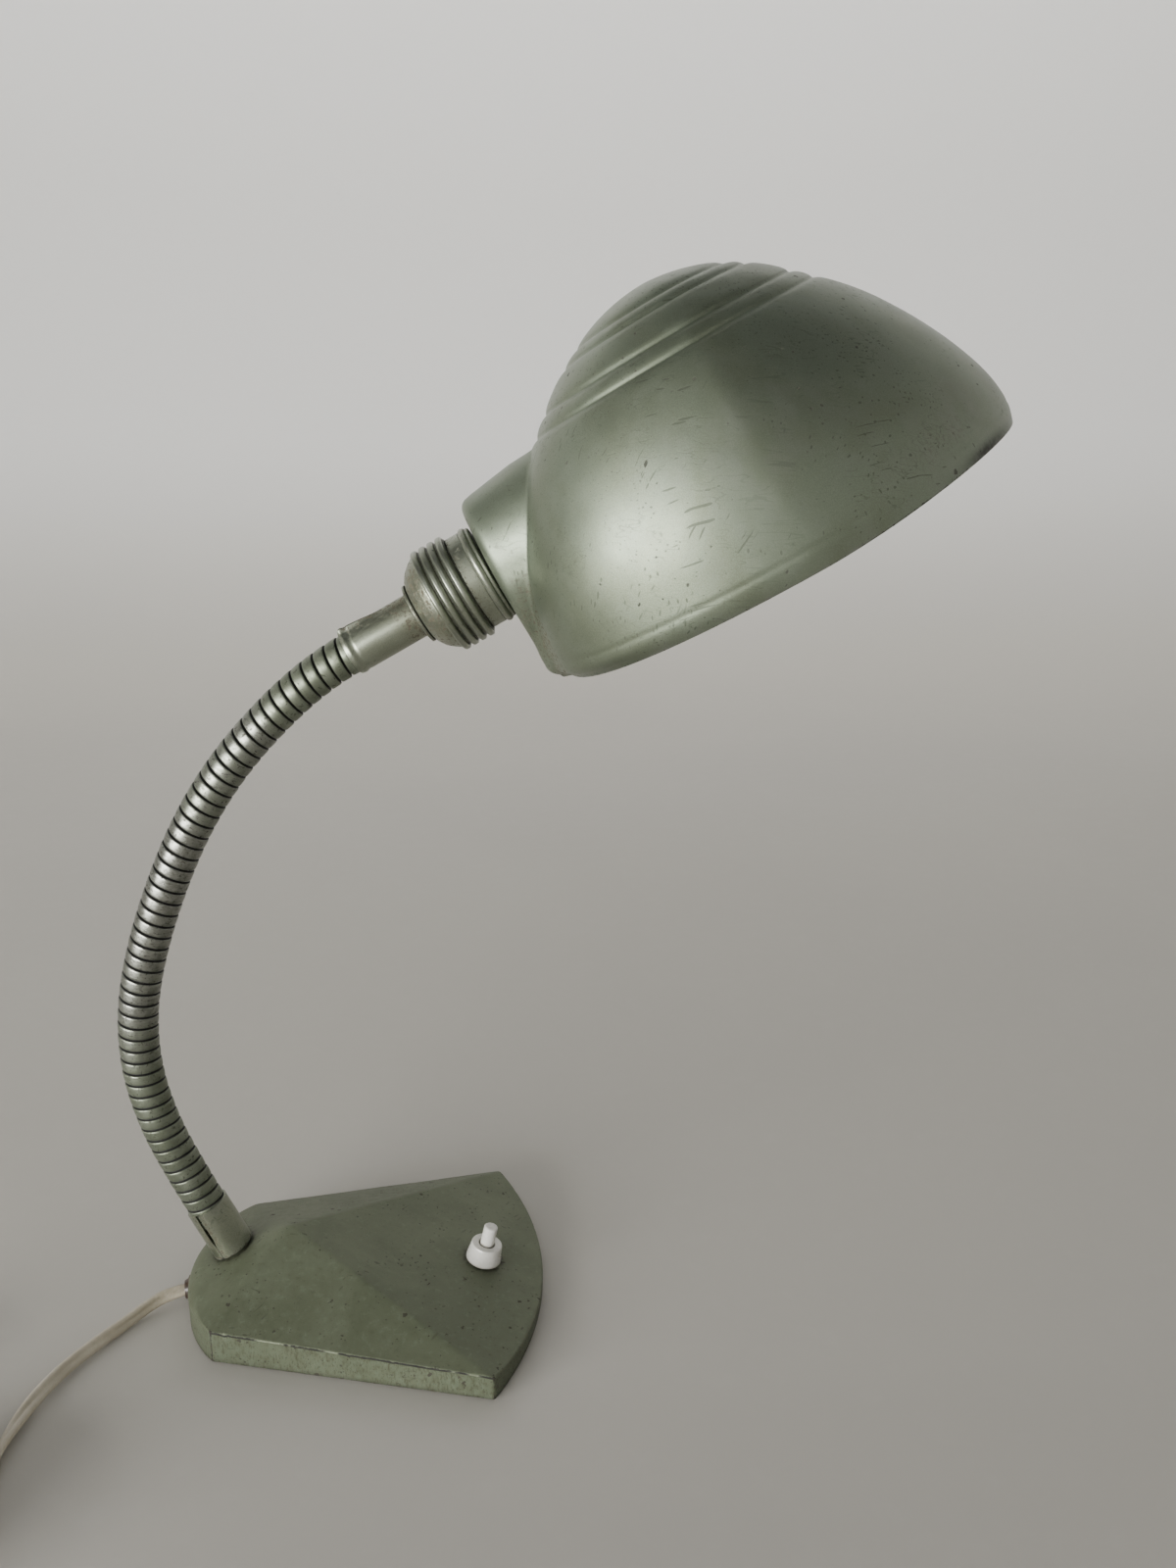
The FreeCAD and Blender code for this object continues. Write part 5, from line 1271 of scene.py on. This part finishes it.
corners = [PH_F, PH_B, 2 * math.pi - PH_B, 2 * math.pi - PH_F]
phis = []
grid_phi = np.linspace(0, 2 * math.pi, 20000, endpoint=False)
rr, _ = edge_of(grid_phi)
px_, py_ = AXX + rr * np.cos(grid_phi), rr * np.sin(grid_phi)
dist_c = np.min([np.hypot(px_ - (AXX + edge_of(c)[0] * math.cos(c)), py_ - edge_of(c)[0] * math.sin(c)) for c in corners], axis=0)
want = np.clip(0.16 + 0.16 * dist_c, 0.16, 1.25)
stepl = np.hypot(np.roll(px_, -1) - px_, np.roll(py_, -1) - py_) / want
cum = np.concatenate([[0], np.cumsum(stepl)])
NC = int(cum[-1])
phis = np.interp(np.linspace(0, cum[-1], NC, endpoint=False), cum, np.concatenate([grid_phi, [2 * math.pi]]))
rho0, _ = edge_of(phis)
# round the four upright corners by averaging the outline over a short length
ox, oy = AXX + rho0 * np.cos(phis), rho0 * np.sin(phis)


def outline_smooth(width):
    fr_, _ = edge_of(grid_phi)
    X, Y_ = AXX + fr_ * np.cos(grid_phi), fr_ * np.sin(grid_phi)
    ln = np.concatenate([[0], np.cumsum(np.hypot(np.diff(np.append(X, X[0])), np.diff(np.append(Y_, Y_[0]))))])
    tot = ln[-1]
    s_at = np.interp(phis, np.append(grid_phi, 2 * math.pi), ln)
    ax_, ay_ = np.zeros(NC), np.zeros(NC)
    for k in range(-4, 5):
        q = (s_at + k * width / 4) % tot
        ax_ += np.interp(q, ln, np.append(X, X[0]))
        ay_ += np.interp(q, ln, np.append(Y_, Y_[0]))
    return ax_ / 9, ay_ / 9, s_at


ox, oy, s_at = outline_smooth(1.0)
back_w = sstep(np.abs(((phis + math.pi) % (2 * math.pi)) - math.pi), PH_B + 0.10, PH_B + 0.75)
RAD = 0.75 + 4.6 * back_w
nx, ny = np.gradient(oy), -np.gradient(ox)
nl_ = np.hypot(nx, ny)
nx, ny = nx / nl_, ny / nl_
if (nx[0] < 0):
    nx, ny = -nx, -ny
rows_b, info = [], []
# the roof, from the apex out
ix, iy = ox - nx * RAD, oy - ny * RAD
ts = np.concatenate([np.linspace(0.0, 0.955, 74), 0.955 + 0.045 * (1 - (1 - np.linspace(0.1, 1, 12)) ** 1.6)])
for t in ts:
    x_, y_ = AXX + (ix - AXX) * t, iy * t
    rows_b.append((x_, y_, soft_roof(x_, y_)))
    info.append(("roof", (1 - t)))
z_in = soft_roof(ix, iy)
z_edge = soft_roof(ox, oy)
for k in range(1, 7):
    a = math.pi / 2 * k / 6
    x_, y_ = ix + nx * RAD * math.sin(a), iy + ny * RAD * math.sin(a)
    z_ = z_in + (z_edge - z_in) * math.sin(a) * (1 - 0.5 * math.sin(a)) - RAD * (1 - math.cos(a))
    rows_b.append((x_, y_, z_))
    info.append(("round", a))
z_top = rows_b[-1][2]
for k in range(1, 25):
    t = k / 24.0
    z_ = z_top + (1.15 - z_top) * (t ** 1.15)
    draft = 0.0
    rows_b.append((ox - nx * draft, oy - ny * draft, z_))
    info.append(("wall", t))
for a, zz in ((0.12, 0.85), (0.45, 0.64)):
    rows_b.append((ox - nx * a, oy - ny * a, np.full(NC, zz)))
    info.append(("foot", 0))
for a, zz in ((3.0, 0.62), (6.2, 0.62), (6.3, 2.4), (9.0, 2.6)):
    rows_b.append((ox - nx * a, oy - ny * a, np.full(NC, zz)))
    info.append(("under", 0))
nb = len(rows_b)
BV = np.zeros((nb, NC, 3))
for i, (x_, y_, z_) in enumerate(rows_b):
    BV[i, :, 0], BV[i, :, 1], BV[i, :, 2] = x_, y_, z_
kind = [k for k, _ in info]
phi_s = ((phis + math.pi) % (2 * math.pi)) - math.pi
near_side = (phi_s < -PH_F + 0.0) & (phi_s > -PH_B - 0.0)
far_side = (phi_s > PH_F) & (phi_s < PH_B)
at = {k: np.zeros((nb, NC)) for k in ("chip", "grime_and_shade", "edge", "wall")}
SWX, SWZ = 48.2, 12.0037
cd = np.min([np.hypot(ox - (AXX + edge_of(c)[0] * math.cos(c)), oy - edge_of(c)[0] * math.sin(c)) for c in corners], axis=0)
side_w = np.where(near_side, 1.0, np.where(far_side, 0.55, 0.5 * (1 - back_w)))
fax = (-0.30, -1.0)
for i in range(nb):
    x_, y_, z_ = BV[i, :, 0], BV[i, :, 1], BV[i, :, 2]
    gap = np.hypot(np.hypot(x_ - rows_b[nb - 8][0], 0) * 0, 0)
    d_edge = np.abs(z_ - (z_top + 0.35)) if kind[i] in ("wall", "foot", "under") else np.hypot(ox - x_, oy - y_)
    if kind[i] == "round":
        d_edge = np.hypot(ox - x_, oy - y_) * 0.5
    at["edge"][i] = np.exp(-(d_edge / 0.36) ** 2) * side_w
    up = np.exp(-(cd / 0.62) ** 2) * (1 if kind[i] in ("wall", "round") else 0)
    at["edge"][i] = np.maximum(at["edge"][i], up * 0.98)
    at["chip"][i] = 0.36 * np.exp(-(d_edge / 1.1) ** 2) * (0.5 + 0.5 * side_w) + 0.66 * np.exp(-(cd / 0.8) ** 2) * (kind[i] in ("wall", "round", "foot"))
    at["chip"][i] += 0.52 * np.exp(-((z_ - 0.6) / 0.9) ** 2) * (kind[i] in ("wall", "foot"))
    at["wall"][i] = 1.0 if kind[i] in ("wall", "foot") else 0.0
    at["wall"][i] *= np.where(back_w > 0.3, 0.35, 1.0)
    # soiling and painted shade: darker round the ferrule, round the switch, at the cord's hole, along the foot and
    # underneath
    q = np.array([x_ - FS[0], y_ - FS[1], z_ - FS[2]]).T
    dperp = np.linalg.norm(q - np.outer(q @ AX, AX), axis=1)
    g1 = 0.9 * np.exp(-((dperp - 8.6) / 0.75) ** 2) + 0.35 * np.exp(-((dperp - 9.4) / 2.2) ** 2)
    dsw = np.hypot(x_ - SWX, y_)
    g2 = 0.75 * np.exp(-((dsw - 7.7) / 0.8) ** 2) + 0.22 * np.exp(-((dsw - 9) / 3.0) ** 2)
    g3 = 0.8 * np.exp(-(np.hypot(np.hypot(x_ + 73.4, y_ + 4.0), z_ - 5.5) / 4.2) ** 2)
    g4 = 0.65 * np.exp(-((z_ - 0.5) / 1.3) ** 2) + (0.8 if kind[i] == "under" else 0)
    at["grime_and_shade"][i] = np.clip(np.maximum.reduce([g1 * (kind[i] == "roof"), g2 * (kind[i] == "roof"), g3, g4 * (kind[i] != "roof") * np.ones(NC)]), 0, 1)
for i in range(nb):
    if kind[i] in ("roof", "round", "wall"):
        for j in range(NC):
            x_, y_, z_ = BV[i, j]
            d = 0.16 * nz(x_, y_, z_, 0.05, 2) + 0.07 * nz(x_, y_, z_, 0.22, 6) - 0.12
            k_ = 1.0 if kind[i] != "roof" else 1.0
            # small nicks along the arris
            nick = float(at["edge"][i, j]) * max(0.0, nz(x_, y_, 0, 0.35, 8) - 0.18) * 1.1
            if kind[i] == "wall":
                BV[i, j, 0] += nx[j] * (d - nick)
                BV[i, j, 1] += ny[j] * (d - nick)
            else:
                BV[i, j, 2] += d - nick
bf = grid_faces(nb, NC, True)
bv = BV.reshape(-1, 3)
base = finish_mesh("base_casting_skin", bv, bf, M_BASE, "base", ("base_casting",),
                   {k: v.ravel() for k, v in at.items()}, merge=0.0005, recalc=False, angle=None, outward=(0, 0, 8.0))

# ------------------------------------------------------------------ switch
FN = np.array([0.23935, 0, 0.97093])
SW = np.array([SWX, 0, SWZ])
sw_fr = Frame(SW, FN, (0, 1.0, 0))
# the soot attribute here is painted shade at the collar's foot and in its bore round the plunger, over light overall
# soiling
lathe("switch_collar_turned", rounded([(5.0, 0.02, 0), (7.35, 0.02, 0.1), (7.5, 0.25, 0.15), (7.48, 1.0, 0.6), (6.62, 6.9, 0.5), (6.42, 7.6, 0.75), (3.75, 7.62, 0.45), (3.35, 7.1, 0.2), (3.1, 6.6, 0.1), (3.02, 5.2, 0), (5.0, 5.2, 0)], 6),
      sw_fr, M_WHITE, "base", ("switch_collar",), seg=96, angle=50, subdivide=0.5,
      attrs={"grime_and_shade": lambda r, z, t: 0.55 * float(bumpf(z, 0.1, 0.9)) + 0.75 * float(bumpf(r, 3.2, 0.5)) * float(z < 7.5) + 0.12},
      shape=lambda r, z, t: (r + 0.03 * math.sin(3 * t) * (r > 6), z))
# the soot attribute here is painted shade where the plunger comes out of the collar
lathe("switch_plunger_turned", rounded([(0.0, -4.5, 0), (4.2, -4.5, 0.2), (4.2, -3.8, 0.2), (2.9, -3.75, 0.1), (2.9, 15.0, 0.2), (2.86, 15.45, 0.4), (2.3, 15.86, 0.5), (1.2, 15.9, 0.6), (0.0, 15.9, 0)], 6),
      sw_fr, M_WHITE, "switch_button", ("switch_plunger",), seg=64, angle=60, subdivide=0.5, closed=False,
      attrs={"grime_and_shade": lambda r, z, t: 0.5 * float(bumpf(z, 7.4, 1.2)) + 0.08})

# return spring under the plunger, centred on the part's spring
SPR_TALL = 2.34
sp_lo, sp_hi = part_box("switch_spring")
sp_mid = np.array([(sp_lo[k] + sp_hi[k]) / 2 for k in range(3)]) * 1000
spv = []
for i in range(145):
    turn_a = 2 * math.pi * 3 * i / 144
    for k in range(10):
        wire_a = 2 * math.pi * k / 10
        rr = 3.2 + 0.21 * math.cos(wire_a)
        spv.append(sw_fr.pt(rr * math.cos(turn_a), rr * math.sin(turn_a), -SPR_TALL / 2 + SPR_TALL * i / 144 + 0.21 * math.sin(wire_a)))
spv = np.array(spv)
spv += sp_mid - (spv.min(axis=0) + spv.max(axis=0)) / 2
spf = [(i * 10 + k, i * 10 + (k + 1) % 10, (i + 1) * 10 + (k + 1) % 10, (i + 1) * 10 + k) for i in range(144) for k in range(10)]
spf += [tuple(range(9, -1, -1)), tuple(144 * 10 + k for k in range(10))]
spring = finish_mesh("switch_spring_wound", spv, spf, M_STEEL, "base", ("switch_spring",), recalc=True, angle=50)
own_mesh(spring)

# ------------------------------------------------------------------ floor and light
stage_pts = [(0.0, 0.0)] + [(0.03 * 1.5 ** k, 0.0) for k in range(10)] + [(1.45, 0.0)]
stage_pts += [(1.45 + 0.9 * math.sin(a), 0.9 - 0.9 * math.cos(a)) for a in np.linspace(0.08, math.pi / 2, 18)] + [(2.35, 1.6), (2.35, 2.6)]
sv = []
for r, z in stage_pts:
    for j in range(128):
        a = 2 * math.pi * j / 128
        sv.append(((r * math.cos(a) + 0.03) * 1000, r * math.sin(a) * 1000, z * 1000 - 0.05))
g = Graph("studio_paper")
n1 = g.noise(g.obj, 1.1, 3, 0.5)
n2 = g.noise(g.obj, 60.0, 4, 0.6)
sepz = g.n.new("ShaderNodeSeparateXYZ")
g.put(sepz.inputs[0], g.obj)
col = g.mix(g.step(n1, 0.35, 0.65), (0.54, 0.520, 0.475), (0.515, 0.495, 0.455))
col = g.mix(g.step(sepz.outputs[2], 0.0, 0.45), col, (0.80, 0.795, 0.775))
col = g.mix(g.step(n2, 0.5, 0.8, 0.0, 0.08), col, (0.71, 0.70, 0.665))
g.set(Base_Color=col, Roughness=g.step(n2, 0.3, 0.7, 0.62, 0.75), Normal=g.bump(n2, 0.05, 0.0002))
floor = finish_mesh("studio_floor", sv, grid_faces(len(stage_pts), 128, True), g.mat, merge=0.01, recalc=False)
fme = floor.data
if fme.polygons[10].normal.z < 0:
    fme.flip_normals()

world = bpy.data.worlds.new("studio")
scene.world = world
world.use_nodes = True
bg = world.node_tree.nodes["Background"]
bg.inputs["Color"].default_value = (0.93, 0.96, 1.0, 1)
bg.inputs["Strength"].default_value = 0.072


def area(name, loc_, aim, w, h_, power, color):
    d = bpy.data.lights.new(name, "AREA")
    d.shape = "RECTANGLE"
    d.size, d.size_y = w, h_
    d.energy = power
    d.color = color
    o = bpy.data.objects.new(name, d)
    scene.collection.objects.link(o)
    o.location = loc_
    o.rotation_euler = (Vector(aim) - Vector(loc_)).to_track_quat("-Z", "Y").to_euler()
    return o


area("window", (-0.98, -1.09, 0.21), (0.05, 0.0, 0.24), 1.15, 0.58, 47.0, (1.0, 0.99, 0.965))
area("room", (-0.6, -1.5, 1.7), (0.05, 0.0, 0.2), 1.0, 0.8, 1.3, (0.96, 0.98, 1.0))
area("wash", (0.0, 0.95, 2.2), (0.0, 2.35, 1.35), 2.6, 0.5, 35.0, (1.0, 0.995, 0.985))

bpy.context.view_layer.update()
